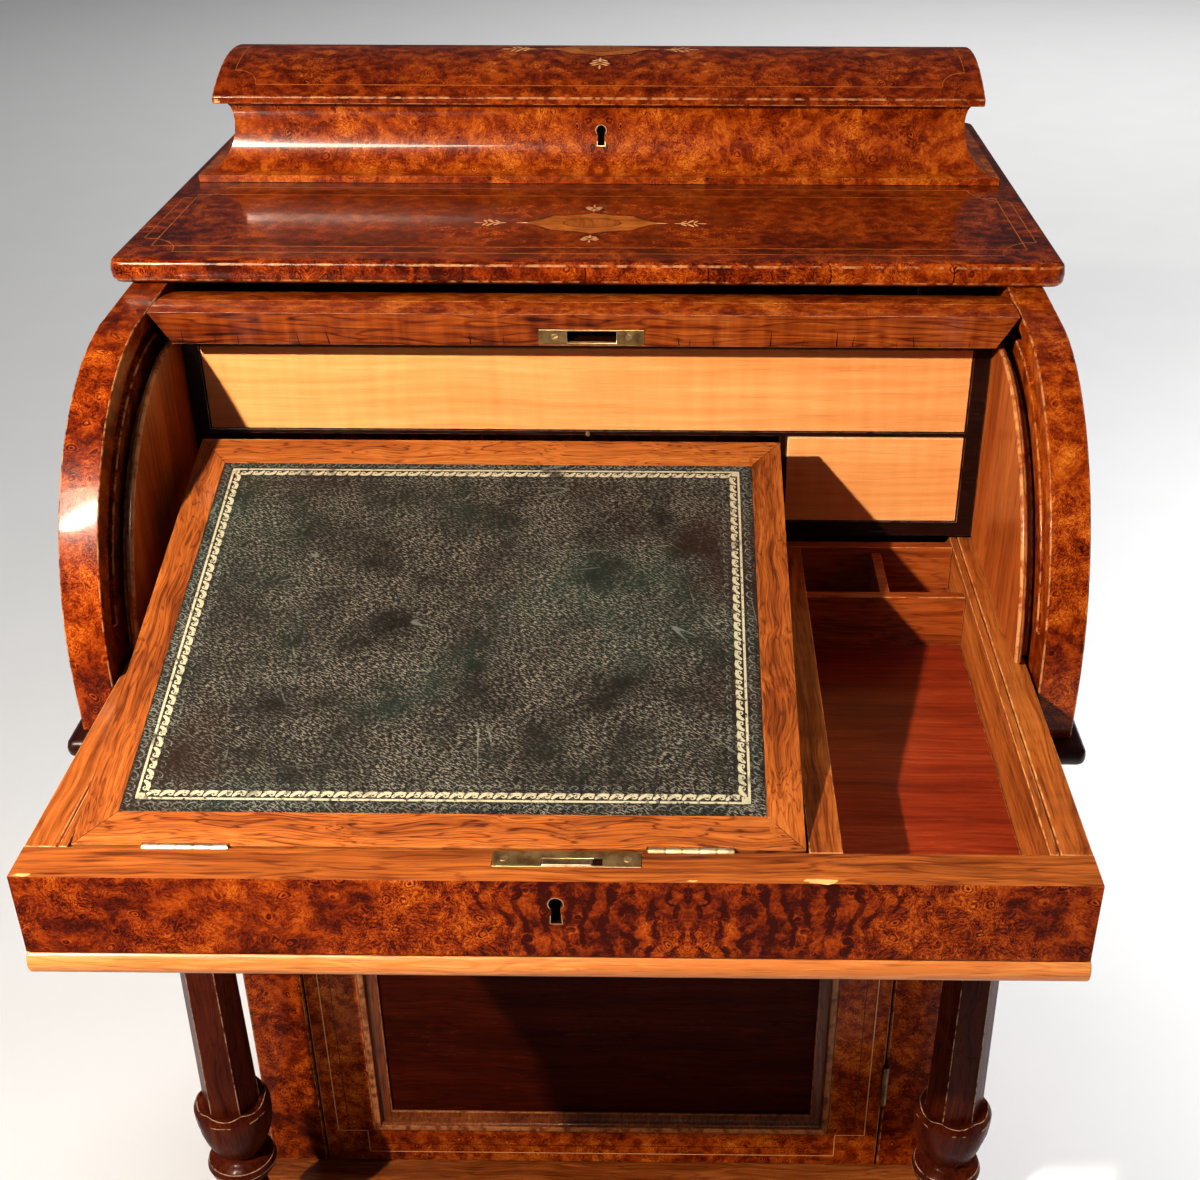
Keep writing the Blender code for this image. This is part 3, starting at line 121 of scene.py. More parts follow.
class Finish(Graph):
    """A material being made."""

    def __init__(self, name):
        self.material = bpy.data.materials.new(name)
        self.material.use_nodes = True
        super().__init__(self.material.node_tree)

    def place(self, shift=(0, 0, 0), turn=(0, 0, 0)):
        """Object coordinates, moved and turned (in degrees)."""
        return self.shifted(self.node("ShaderNodeTexCoord", output="Object"), shift, turn)

    def shifted(self, spot, shift, turn=(0, 0, 0)):
        turned = tuple(math.radians(t) for t in turn)
        return self.node("ShaderNodeMapping", {"vector_type": "POINT"},
                         {"Vector": spot, "Location": shift, "Rotation": turned})

    def part(self, spot, axis):
        return self.node("ShaderNodeSeparateXYZ", None, {0: spot}, output=axis)

    def vector(self, operation, *terms):
        return self.node("ShaderNodeVectorMath", {"operation": operation}, dict(enumerate(terms)))

    def stretch(self, spot, scale):
        return self.vector("MULTIPLY", spot, scale)

    def warp(self, spot, noise, reach):
        """Moves spot by a noise's colour, up to about half of reach either way."""
        centred = self.vector("SUBTRACT", noise.output("Color"), (0.5, 0.5, 0.5))
        return self.vector("MULTIPLY_ADD", centred, (reach, reach, reach), spot)

    def noise(self, spot, scale, detail=2.0, rough=0.5):
        return self.node("ShaderNodeTexNoise", {"noise_dimensions": "3D"},
                         {"Vector": spot, "Scale": scale, "Detail": detail, "Roughness": rough})

    def cells(self, spot, scale):
        """Distance to the nearest of scattered points, about 1 / scale apart."""
        return self.node("ShaderNodeTexVoronoi", {"feature": "F1"}, {"Vector": spot, "Scale": scale})

    def dice(self, cells):
        """A fixed random number for each cell."""
        return self.node("ShaderNodeSeparateColor", None, {0: cells.output("Color")}, output="Red")

    def ramp(self, share, *stops):
        return self.node("ShaderNodeValToRGB", {"stops": stops}, {"Fac": share})

    def shades(self, share, tones):
        """A ramp through tones at even steps."""
        return self.ramp(share, *((i / (len(tones) - 1), c) for i, c in enumerate(tones)))

    def mix(self, share, first, second):
        first, second = (c if isinstance(c, Value) else (*c, 1.0) for c in (first, second))
        return self.node("ShaderNodeMix", {"data_type": "RGBA", "clamp_factor": True},
                         {0: share, 6: first, 7: second}, output=2)

    def worn(self):
        """1 on the softened edges that soften() marks."""
        return self.node("ShaderNodeAttribute", {"attribute_name": "wear"}, output="Fac")

    def done(self, colour, roughness, relief=None, depth=0.0002, **fixed):
        """Ends in one Principled shader: relief is a height that is depth metres deep."""
        sockets = {"Base Color": colour, "Roughness": roughness}
        if relief is not None:
            sockets["Normal"] = self.node("ShaderNodeBump", None,
                                          {"Height": relief, "Distance": depth, "Strength": 1.0})
        sockets.update({key.replace("_", " ").title().replace("Ior", "IOR"): v for key, v in fixed.items()})
        shader = self.node("ShaderNodeBsdfPrincipled", None, sockets)
        self.node("ShaderNodeOutputMaterial", None, {"Surface": shader})
        return self.material


class Recipe(Graph):
    """A Geometry Nodes tree with named sizes. make() runs it on a drawing and gives a plain mesh."""

    def __init__(self, name, **sizes):
        super().__init__(bpy.data.node_groups.new(name, "GeometryNodeTree"))
        face = self.tree.interface
        face.new_socket("Drawing", in_out="INPUT", socket_type="NodeSocketGeometry")
        face.new_socket("Made", in_out="OUTPUT", socket_type="NodeSocketGeometry")
        self.keys = {label: face.new_socket(label, in_out="INPUT", socket_type="NodeSocket" + kind).identifier
                     for label, kind in sizes.items()}
        self.start = self.tree.nodes.new("NodeGroupInput")

    def given(self, label):
        return Value(self, self.start.outputs[label])

    def curve(self):
        """The lines of the drawing."""
        return self.node("GeometryNodeMeshToCurve", None, {"Mesh": self.given("Drawing")})

    def repeated(self, points, turn, size):
        """The motif at each of points."""
        figure = self.node("GeometryNodeObjectInfo", {"transform_space": "ORIGINAL"},
                           {"Object": self.given("Motif"), "As Instance": True}, output="Geometry")
        return self.node("GeometryNodeInstanceOnPoints", None,
                         {"Points": points, "Instance": figure, "Rotation": turn, "Scale": size})

    def mark(self, label, kind="FLOAT"):
        """A value that the drawing gives to each of its points."""
        return self.node("GeometryNodeInputNamedAttribute", {"data_type": kind}, {"Name": label})

    def done(self, geometry):
        real = self.node("GeometryNodeRealizeInstances", None, {"Geometry": geometry})
        dressed = self.node("GeometryNodeSetMaterial", None,
                            {"Geometry": real, "Material": self.given("Finish")})
        self.node("NodeGroupOutput", None, {"Made": dressed})
        return self

    def make(self, drawing, **sizes):
        bench = stood("bench", drawing)
        run = bench.modifiers.new("run", "NODES")
        run.node_group = self.tree
        for label, value in sizes.items():
            run[self.keys[label]] = value
        mesh = plain_copy(bench)
        bpy.data.objects.remove(bench)
        return mesh


def stood(name, data):
    """A new object in the scene."""
    thing = bpy.data.objects.new(name, data)
    bpy.context.scene.collection.objects.link(thing)
    return thing


def plain_copy(thing):
    """The mesh of an object with its modifiers carried out."""
    graph = bpy.context.evaluated_depsgraph_get()
    return bpy.data.meshes.new_from_object(thing.evaluated_get(graph), preserve_all_data_layers=True,
                                           depsgraph=graph)


# Finishes

BURR = ((0.030, 0.0018, 0.0003), (0.12, 0.0105, 0.0008), (0.26, 0.034, 0.0020), (0.42, 0.090, 0.0060),
        (0.62, 0.195, 0.024))


def burr(name, shift, match=None, lean=0.0, flame=0.0, lengths=0.0, coat=0.16, shine=0.08):
    """Burr walnut under French polish: swirling lines that close into eyes, dark mottles between them.
    match is the X of a book-matched joint, lean makes the sheet lighter or darker, flame adds wavy dark bands
    beside the joint, and lengths cuts a band into short lengths of differing shade."""
    f = Finish(name)
    spot = f.place()
    if match is not None:
        across = f.part(spot, "X")
        spot = f.node("ShaderNodeCombineXYZ", None, {"X": (across - match).size(), "Y": across.output("Y"),
                                                     "Z": across.output("Z")})
    from_joint = f.part(spot, "X")
    spot = f.shifted(spot, shift)
    bent = f.warp(spot, f.noise(spot, 42, 3), 0.017)
    curly = f.warp(bent, f.noise(bent, 170, 2), 0.0035)
    cells = f.cells(bent, 90)
    crowd = f.noise(spot, 17, 2).ease(0.36, 0.50)
    eye = (1 - cells * 3.0).above(0.0) * f.dice(cells).ease(0.24, 0.30) * crowd
    swirl = f.noise(curly, 50, 5, 0.62) + eye * 0.15
    lines = ((swirl * 125).sin() * 0.5 + 0.5) ** 1.5
    cloud = f.noise(bent, 24, 4, 0.6)
    curls = f.noise(curly, 105, 4, 0.6)
    fleck = f.noise(curly, 560, 3, 0.65).ease(0.30, 0.70)
    tone = cloud.ease(0.32, 0.68) * 0.24 + curls.ease(0.34, 0.66) * 0.36 + fleck * 0.16 + lean - 0.01
    tone = tone + lines * (0.15 + f.noise(spot, 26, 2).ease(0.42, 0.60) * 0.20)
    tone = tone + (eye * 13).sin() * eye.ease(0.02, 0.20) * 0.22 - eye.ease(0.72, 0.92) * 0.4
    if lengths:
        run = (from_joint + from_joint.output("Y")) / lengths
        shade = f.node("ShaderNodeTexWhiteNoise", {"noise_dimensions": "1D"}, {"W": run.floor()})
        seam = (run - run.floor() - 0.5).size().ease(0.492, 0.497)
        tone = tone + (shade - 0.5) * 0.26 - seam * 0.4
    if flame:
        wave = from_joint + f.noise(f.stretch(curly, (0.5, 1.0, 1.0)), 55, 3) * 0.030
        near = 1 - from_joint.ease(0.06, 0.14)
        tone = tone - (wave * 640).sin().ease(0.1, 0.9) * f.noise(spot, 70, 2).ease(0.30, 0.55) * near * flame
    colour = f.shades(tone, BURR)
    rub = f.worn() * f.noise(spot, 150, 4, 0.6).ease(0.40, 0.60)
    colour = f.mix(rub * 0.6, colour, (0.55, 0.24, 0.08))
    smear = f.noise(spot, 9, 4)
    roughness = 0.20 + smear * 0.18 + rub * 0.2
    return f.done(colour, roughness, fleck * 0.5 + lines * 0.25, 0.00005, coat_weight=coat,
                  coat_roughness=0.08, specular_ior_level=shine)


def wood(name, along, tones, shift=(0, 0, 0), turn=(0, 0, 0), bold=1.0, scale=1.0, gloss=0.34, coat=0.10,
         edge=(0.60, 0.27, 0.09), curl=0.0, pore=0.5, scratches=0.0, lean=0.0, shine=0.12):
    """Straight-grained wood. along is the grain's axis after turn, tones run from dark to pale, edge is the
    colour of worn edges (on the columns and the door moulding partly a painted highlight), scratches adds pale
    lines along the grain, and lean lightens or darkens it all."""
    f = Finish(name)
    spot = f.place(shift, turn)
    easy, thin = [1.0, 1.0, 1.0], [1.0, 1.0, 1.0]
    easy["XYZ".index(along)], thin["XYZ".index(along)] = 0.075, 0.022
    bent = f.warp(spot, f.noise(spot, 7 * scale, 2), 0.02)
    laid = f.stretch(bent, tuple(easy))
    growth = f.noise(laid, 44 * scale, 3, 0.55)
    lines = ((growth * 110 + f.noise(laid, 300 * scale, 2) * 2).sin() * 0.5 + 0.5) ** 7
    streak = f.noise(f.stretch(bent, tuple(thin)), 420 * scale, 5, 0.62)
    pores = f.noise(f.stretch(spot, tuple(thin)), 1900 * scale, 2, 0.6).ease(0.56, 0.70)
    tone = growth.ease(0.22, 0.78) * 0.44 + streak.ease(0.30, 0.70) * 0.34 - lines * 0.20 * bold + 0.18 + lean
    if curl:
        ripple = f.noise(f.stretch(bent, tuple(0.12 if e == 1.0 else 1.0 for e in easy)), 120, 2)
        tone = tone + (ripple - 0.5) * curl
    if scratches:
        split = (f.noise(f.stretch(bent, tuple(thin)), 260, 3) - 0.5).size()
        tone = tone + (1 - split.ease(0.004, 0.010)) * f.noise(spot, 24, 2).ease(0.5, 0.6) * scratches
    colour = f.mix(pores * pore, f.shades(tone, tones), tuple(c * 0.30 for c in tones[0]))
    rub = f.worn() * f.noise(spot, 150, 4, 0.6).ease(0.36, 0.58)
    colour = f.mix(rub * 0.75, colour, edge)
    smear = f.noise(spot, 11, 4)
    roughness = gloss + smear * 0.20 - 0.07 + pores * 0.12 + rub * 0.12
    return f.done(colour, roughness, streak * 0.5 - pores * 0.9, 0.00008, coat_weight=coat,
                  coat_roughness=0.12, specular_ior_level=shine)


WALNUT = ((0.028, 0.0045, 0.0012), (0.15, 0.028, 0.0045), (0.36, 0.086, 0.0125), (0.52, 0.160, 0.030))
DARK = ((0.0040, 0.0008, 0.0004), (0.010, 0.0018, 0.0007), (0.022, 0.0040, 0.0014), (0.040, 0.0080, 0.0026))
BLACK = ((0.0030, 0.0006, 0.0003), (0.007, 0.0012, 0.0006), (0.012, 0.0022, 0.0010), (0.020, 0.0040, 0.0017))
MAPLE = ((0.50, 0.140, 0.028), (0.68, 0.245, 0.062), (0.77, 0.315, 0.092), (0.85, 0.40, 0.135))
LIP = ((0.020, 0.0022, 0.0004), (0.12, 0.0145, 0.0014), (0.27, 0.048, 0.0048), (0.46, 0.120, 0.018))
MAHOGANY = ((0.045, 0.0034, 0.0009), (0.125, 0.0090, 0.0021), (0.22, 0.021, 0.0045), (0.34, 0.044, 0.010))
RED = ((0.035, 0.0042, 0.0010), (0.15, 0.0215, 0.0030), (0.33, 0.062, 0.0080), (0.46, 0.115, 0.018))
PINE = ((0.10, 0.033, 0.010), (0.19, 0.070, 0.022), (0.27, 0.105, 0.035), (0.35, 0.150, 0.056))
BOX = ((0.40, 0.15, 0.050), (0.54, 0.24, 0.085), (0.65, 0.32, 0.125), (0.73, 0.42, 0.19))
SATIN = ((0.10, 0.018, 0.002), (0.27, 0.060, 0.007), (0.42, 0.112, 0.016), (0.56, 0.18, 0.036))
COLUMN = ((0.009, 0.0008, 0.0003), (0.030, 0.0030, 0.0009), (0.058, 0.0075, 0.0020), (0.11, 0.020, 0.005))
PANEL = ((0.008, 0.0007, 0.0001), (0.021, 0.0018, 0.0003), (0.036, 0.0033, 0.0006), (0.058, 0.0070, 0.0014))
MOULD = ((0.018, 0.0025, 0.0005), (0.075, 0.0125, 0.0018), (0.16, 0.034, 0.0050), (0.30, 0.085, 0.018))
SLOPE_ANGLE = -JOINT["slope_fold"]["range_deg"][0]
SLOPE_TURN = (-SLOPE_ANGLE, 0, 0)

walnut_x = wood("walnut grain across", "X", WALNUT)
walnut_y = wood("walnut grain back", "Y", WALNUT, shift=(0.3, 0, 0.1), bold=0.7, curl=0.2)
walnut_z = wood("walnut grain upright", "Z", RED, shift=(0.1, 0.2, 0), bold=0.6, lean=0.08)
bead_wood = wood("walnut slide bead", "X", MAPLE, shift=(0.9, 0.4, 0.2), pore=0.6, lean=-0.42)
lip_wood = wood("walnut fall lip", "X", LIP, shift=(0.7, 0.1, 0.4), bold=1.6, curl=0.7, coat=0.5,
                edge=(0.80, 0.50, 0.32), lean=-0.10)
rail_wood = wood("walnut slope rails", "X", WALNUT, shift=(0.2, 0.5, 0.3), turn=SLOPE_TURN, bold=1.8,
                 scale=1.7, lean=0.10)
stile_wood = wood("walnut slope stiles", "Y", WALNUT, shift=(0.6, 0.3, 0.2), turn=SLOPE_TURN, bold=1.1,
                  scale=1.7, lean=-0.05)
# The pale edge colour of the columns and feet is partly wear and partly a painted highlight along their arrises.
dark_z = wood("dark walnut upright", "Z", COLUMN, gloss=0.26, coat=0.03, edge=(0.45, 0.25, 0.14),
              shine=0.02)
# The pale edge colour of the door moulding is partly wear and partly painted highlight lines along its edges.
mould_z = wood("walnut moulding", "Z", MOULD, gloss=0.28, edge=(0.36, 0.13, 0.040))
mould_x = wood("walnut plinth", "X", MOULD, gloss=0.24, coat=0.3, edge=(0.50, 0.24, 0.09), lean=0.1)
dark_y = wood("dark walnut back", "Y", DARK, gloss=0.30, edge=(0.26, 0.10, 0.045))
black_x = wood("ebonised across", "X", BLACK, gloss=0.36, edge=(0.12, 0.04, 0.02))
panel_x = wood("stained panel", "X", PANEL, gloss=0.40, coat=0.0, edge=(0.10, 0.03, 0.015), scratches=0.7,
               shine=0.02)
maple_x = wood("maple", "X", MAPLE, bold=0.2, gloss=0.38, edge=(0.82, 0.55, 0.28), curl=0.45, pore=0.16,
               scale=0.6)
red_x = wood("red walnut", "X", RED, shift=(0.5, 0.2, 0.6), bold=0.8)
mahogany_x = wood("mahogany", "X", MAHOGANY, bold=0.4, gloss=0.40, coat=0.15, scratches=0.2, lean=0.06)
mahogany_y = wood("mahogany back", "Y", MAHOGANY, bold=0.5, gloss=0.40, coat=0.15)
pine_x = wood("pine", "X", PINE, bold=0.8, gloss=0.55, coat=0.0, edge=(0.4, 0.25, 0.13), scale=0.7)
boxwood = wood("boxwood inlay", "X", BOX, bold=0.3, gloss=0.30, pore=0.25, scale=2.0)
boxwood_dim = wood("faded inlay", "X", SATIN, bold=0.3, gloss=0.30, pore=0.3, scale=2.0)
satin_x = wood("satin walnut inlay", "X", SATIN, bold=1.3, gloss=0.26, scale=1.6, curl=0.6)
satin_y = wood("satin walnut oval", "Y", SATIN, shift=(0.2, 0.3, 0.1), gloss=0.26, scale=1.6, curl=0.4,
               lean=-0.15)
bare_wood = wood("bare wood", "X", MAPLE, gloss=0.6, coat=0.0, lean=0.2)
# Dark inlay for joints, outlines and cracks, and also painted shade inside keyholes, the strike's mortise and the
# lock's slot.
dark_inlay_and_painted_shade = wood("dark inlay", "X", BLACK, gloss=0.30)
burr_top = burr("burr top", (1.3, 0.4, 0.2), match=0.0, lean=-0.28, coat=0.45)
edge_band = burr("burr top edge", (0.4, 0.6, 0.2), lengths=0.074, lean=-0.17)
burr_lid = burr("burr lid", (0.2, 0.9, 0.1), match=0.0, lean=-0.15, coat=0.15)
burr_box = burr("burr box", (2.2, 0.1, 1.2), match=0.0, lean=-0.03, coat=0.35)
burr_left = burr("burr left end", (0.4, 2.2, 0.7), lean=-0.20, coat=0.10)
burr_right = burr("burr right end", (0.8, 2.9, 0.1), lean=-0.06, coat=0.20)
burr_fall = burr("burr fall", (0.9, 1.2, 2.7), match=0.0, coat=0.25)
burr_slide = burr("burr slide", (3.1, 0.2, 0.5), match=0.062, lean=-0.20, flame=0.34, coat=0.05, shine=0.03)
burr_base = burr("burr pedestal", (1.9, 1.7, 0.3), lean=-0.21, coat=0.05, shine=0.04)
burr_door = burr("burr door", (2.6, 0.7, 1.3), lean=-0.07, coat=0.05, shine=0.04)


def aged_metal(name, dull, bright, tarnish, gloss=0.34):
    """Metal that goes from dull to bright in clouds, with specks of tarnish and rubbed edges."""
    f = Finish(name)
    spot = f.place()
    cloud = f.noise(spot, 130, 5, 0.65)
    grit = f.noise(spot, 900, 3, 0.6)
    brushed = f.noise(f.stretch(spot, (0.04, 1, 1)), 1800, 2)
    colour = f.mix(cloud.ease(0.32, 0.68), dull, bright)
    colour = f.mix(grit.ease(0.50, 0.75) * cloud.ease(0.58, 0.30) * 0.7, colour, tarnish)
    colour = f.mix(f.worn() * 0.6, colour, tuple(min(1.0, c * 1.5) for c in bright))
    roughness = gloss + cloud * 0.22 + grit * 0.12 - 0.1
    return f.done(colour, roughness, brushed * 0.5 + grit * 0.5, 0.00003, metallic=1.0)


brass = aged_metal("aged brass", (0.34, 0.20, 0.08), (0.60, 0.43, 0.20), (0.07, 0.035, 0.016))
pale_brass = aged_metal("rubbed brass", (0.40, 0.29, 0.16), (0.62, 0.50, 0.33), (0.14, 0.08, 0.04),
                        gloss=0.42)
dark_brass = aged_metal("dark brass", (0.07, 0.035, 0.016), (0.14, 0.08, 0.04), (0.02, 0.010, 0.005))
steel = aged_metal("old steel", (0.24, 0.15, 0.09), (0.46, 0.36, 0.27), (0.05, 0.025, 0.015))


def slope_leather(name, rubbed=0.0, gilt=0.0):
    """Dark green skiver: fine slanting grain, brown and green patches, pale scuffs and scratches, and a painted
    sheen on the grain. rubbed makes the silvery lines of blind tooling, gilt the worn gold of the tooled border."""
    f = Finish(name)
    spot = f.place(turn=SLOPE_TURN)
    slanted = f.shifted(spot, (0, 0, 0), (0, 0, 30))
    grain = f.noise(f.stretch(slanted, (0.30, 1, 0.2)), 1300, 3, 0.6)
    patch = f.noise(f.warp(spot, f.noise(spot, 14, 2), 0.03), 11, 5, 0.55)
    colour = f.ramp(patch, (0.25, (0.0032, 0.0022, 0.0015)), (0.48, (0.0065, 0.0055, 0.0038)),
                    (0.60, (0.0065, 0.0100, 0.0064)), (0.76, (0.0080, 0.019, 0.0112)))
    brown = f.noise(spot, 6, 3).ease(0.47, 0.36)
    colour = f.mix(brown * 0.8, colour, (0.016, 0.0060, 0.0034))
    # shine is a painted sheen: pale colour mixed into the grain where light would catch it.
    shine = grain.ease(0.50, 0.62) * f.noise(spot, 30, 4, 0.65).ease(0.26, 0.66) * (1 - brown * 0.6)
    colour = f.mix(shine * 0.80, colour, (0.275, 0.230, 0.172))
    marks = f.noise(spot, 240, 6, 0.75).ease(0.65, 0.71) * f.noise(spot, 17, 2).ease(0.46, 0.60)
    for way in (78, -8, 42):
        lane = f.stretch(f.shifted(spot, (0.01 * way, 0, 0), (0, 0, way)), (0.08, 1, 1))
        stroke = 1 - (f.noise(lane, 26, 1) - 0.5).size().ease(0.0008, 0.0024)
        broken = f.noise(f.shifted(spot, (0, 0.02 * way, 0)), 36, 2).ease(0.54, 0.66)
        marks = marks.above(stroke * broken * 0.4)
    colour = f.mix(marks * 0.8, colour, (0.30, 0.31, 0.24))
    roughness = 0.44 + patch * 0.22 - shine * 0.12 + marks * 0.2
    if rubbed:
        colour = f.mix(rubbed * f.noise(spot, 420, 3).ease(0.36, 0.60), colour, (0.16, 0.165, 0.14))
    if gilt:
        left = f.noise(spot, 330, 4, 0.65).ease(0.34, 0.46) * f.noise(spot, 45, 3).ease(0.26, 0.40)
        colour = f.mix(left * gilt, colour, (0.64, 0.56, 0.36))
        roughness = roughness - left * 0.08
        return f.done(colour, roughness, grain, 0.00006, metallic=left * 0.45)
    return f.done(colour, roughness, grain, 0.00015, specular_ior_level=0.09)


leather = slope_leather("green leather")
blind_tooling = slope_leather("blind tooling", rubbed=0.85)
gold_tooling = slope_leather("gold tooling", gilt=0.95)


# Pieces carried over from the frame

CREASE = math.radians(38)


def keep(mesh, name, body, slot, replaced=()):
    """Stands a finished mesh in the scene as a piece that rides on body."""
    mesh.shade_smooth()
    mesh.set_sharp_from_angle(angle=CREASE)
    piece = stood(name, mesh)
    weigh = piece.modifiers.new("weigh", "WEIGHTED_NORMAL")
    weigh.keep_sharp = True
    weighed = plain_copy(piece)
    piece.modifiers.clear()
    piece.data = weighed
    weighed.name = name
    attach(piece, body)
    if replaced:
        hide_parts(*replaced)


def as_mesh(bm, name, *finishes):
    """A mesh of bm. Each face's material_index picks one of finishes."""
    mesh = bpy.data.meshes.new(name)
    bm.to_mesh(mesh)
    bm.free()
    for finish in finishes:
        mesh.materials.append(finish)
    return mesh


def solid_of(node):
    """A merged copy of a node's mesh, its flat faces whole again."""
    bm = bmesh.new()
    bm.from_mesh(NODES[node].data)
    bmesh.ops.remove_doubles(bm, verts=bm.verts, dist=1e-6)
    bmesh.ops.dissolve_limit(bm, angle_limit=math.radians(0.4), verts=bm.verts, edges=bm.edges)
    return bm


def soften(bm, width):
    """Takes the sharpness off the outer edges, and marks the narrow new faces as worn."""
    wear = bm.faces.layers.float.new("wear")
    crisp = [e for e in bm.edges if len(e.link_faces) == 2 and e.is_convex
             and e.calc_face_angle(0.0) > math.radians(32)]
    made = bmesh.ops.bevel(bm, geom=crisp, offset=width, offset_type="OFFSET", segments=2, profile=0.5,
                           affect="EDGES", clamp_overlap=True)
    for face in made["faces"]:
        face[wear] = 1.0


def slice_at(bm, spot, normal):
    """Cuts the faces of bm along a plane and leaves both sides."""
    bmesh.ops.bisect_plane(bm, geom=bm.verts[:] + bm.edges[:] + bm.faces[:], dist=1e-7, plane_co=spot,
                           plane_no=normal)


def middle_of(node):
    low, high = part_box(node)
    return (low + high) / 2


# Eyes of the keyholes, on the fronts that they are cut in
SLIDE_KEY, BOX_KEY, DOOR_KEY = (0.0003, -0.380, 0.6803), (0.0015, 0.203, 0.8977), (-0.2015, -0.046, 0.38825)
KEY_WIDE, KEY_HIGH, KEY_DEEP = 5 * MM, 14 * MM, 6 * MM
LOCK_X = middle_of("slide_lock").x
MORTISE_HALF, MORTISE_FRONT, MORTISE_LOW, MORTISE_HIGH = 0.030, -0.0425, 0.8315, 0.846


def in_keyhole(face, eye):
    """Whether a face is on the wall or the floor of the keyhole at eye."""
    off = face.calc_center_median() - Vector(eye)
    sunk = abs(face.normal.y) < 0.5 or off.y > KEY_DEEP
    return sunk and abs(off.x) < KEY_WIDE and abs(off.z) < KEY_HIGH


def rail_finish(face):
    """Burr on top of the fall's rail, and painted shade inside the strike's mortise: a dark finish on its walls
    and floor.
    """
    spot = face.calc_center_median()
    sunk = spot.y > MORTISE_FRONT and MORTISE_LOW < spot.z < MORTISE_HIGH
    # Faces inside the mortise take the dark finish that paints their shade.
    if sunk and abs(spot.x - LOCK_X) < MORTISE_HALF:
        return 2
    return int(face.normal.z > 0.9)


def refine(node, slot, *finishes, edge, choose=None, keyhole=None):
    """Stands a copy with edges softened by edge millimetres in a node's place. choose gives each face its
    finish, and the inside of a keyhole takes the last one, a dark finish that paints the shade in the hole."""
    bm = solid_of(node)
    soften(bm, edge * MM)
    for face in bm.faces:
        # The dark last finish on a keyhole's walls and floor is painted shade, not a wood of another colour.
        if keyhole and in_keyhole(face, keyhole):
            face.material_index = len(finishes) - 1
        elif choose:
            face.material_index = choose(face)
    keep(as_mesh(bm, node, *finishes), node + ".dressed", BODY[node], slot, [node])


refine("top_board", "burr_walnut", burr_top, edge_band, edge=0.8,
       choose=lambda face: 0 if face.normal.z > 0.9 else 1)
refine("cylinder_edge_rail", "walnut", lip_wood, burr_fall, dark_inlay_and_painted_shade, edge=1.3, choose=rail_finish)
refine("slide_front", "burr_walnut", burr_slide, walnut_x, dark_inlay_and_painted_shade, edge=0.5, keyhole=SLIDE_KEY,
       choose=lambda face: 0 if face.normal.y < -0.7 or abs(face.normal.x) > 0.7 else 1)
refine("box_front", "burr_walnut", burr_box, dark_inlay_and_painted_shade, edge=0.8, keyhole=BOX_KEY)
refine("door_frame", "burr_walnut", burr_door, dark_inlay_and_painted_shade, edge=0.8, keyhole=DOOR_KEY)
for slot, finish, edge, nodes in (
        ("burr_walnut", burr_left, 0.9, "left_end"),
        ("burr_walnut", burr_right, 0.9, "right_end"),
        ("burr_walnut", burr_fall, 0.6, "cylinder_shell"),
        ("burr_walnut", burr_box, 0.8, "box_left box_right"),
        ("burr_walnut", burr_lid, 0.9, "lid"),
        ("burr_walnut", burr_base, 0.8, "left_pilaster right_pilaster left_pedestal_side"),
        ("burr_walnut", burr_base, 0.8, "right_pedestal_side plinth_frame"),
        ("burr_walnut", mould_x, 1.2, "plinth_board"),
        ("walnut", walnut_z, 1.6, "left_lining right_lining"),
        ("walnut", walnut_z, 0.6, "cylinder_left_rib cylinder_right_rib"),
        ("walnut", bead_wood, 1.0, "slide_bead"),
        ("walnut", walnut_y, 0.5, "slide_left_side slide_right_side slide_divider slope_prop"),
        ("walnut", red_x, 0.4, "slide_back ink_partition"),
        ("walnut", walnut_x, 0.6, "box_back"),
        ("walnut", mould_z, 0.8, "door_moulding"),
        ("dark_walnut", dark_y, 2.0, "left_base_moulding right_base_moulding"),
        ("dark_walnut", dark_z, 0.4, "left_column right_column front_left_foot front_right_foot"),
        ("dark_walnut", dark_z, 0.4, "back_left_foot back_right_foot"),
        ("pine", walnut_x, 0.6, "case_bottom"),
        ("pine", pine_x, 0.6, "case_back pedestal_back pedestal_shelf"),
        ("ebonised_wood", black_x, 0.5, "fitment_frame"),
        ("ebonised_wood", panel_x, 0.4, "door_panel"),
        ("maple", maple_x, 0.4, "upper_drawer_front lower_drawer_front"),
        ("mahogany", mahogany_y, 0.4, "upper_drawer_box lower_drawer_box"),
        ("mahogany", mahogany_x, 0.6, "slide_floor box_bottom"),
        ("leather", leather, 0.15, "slope_leather"),
        ("brass", brass, 0.25, "strike_plate slide_lock"),
        ("brass", brass, 0.2, "slope_hinge_left slope_hinge_right lid_hinge"),
        ("brass", dark_brass, 0.2, "door_hinge_lower door_hinge_upper"),
        ("steel", steel, 0.3, "lock_bolt")):
    for node in nodes.split():
        refine(node, slot, finish, edge=edge)


# Surfaces that flat work is laid on

HINGE_AXIS, DOOR_AXIS = (Vector(JOINT[name]["pos_m"]) for name in ("slope_fold", "door_swing"))
SLOPE = Matrix.Translation(HINGE_AXIS) @ Matrix.Rotation(math.radians(SLOPE_ANGLE), 4, "X")
TO_SLOPE = SLOPE.inverted()
BOARD_TOP, SLIDE_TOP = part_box("top_board")[1].z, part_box("slide_front")[1].z
DOOR_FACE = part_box("door_frame")[0].y
LID_Y = middle_of("lid").y
LID_Z, LID_R = 0.77586, 0.16364  # height of the axis of the lid's barrel, and its radius
LIP_Y, LIP_Z = -0.04402, 0.83053  # lower edge of the fall's lip
LIP_OUT = Vector((0.0, -0.9893, -0.1461))  # straight out of the lip's front


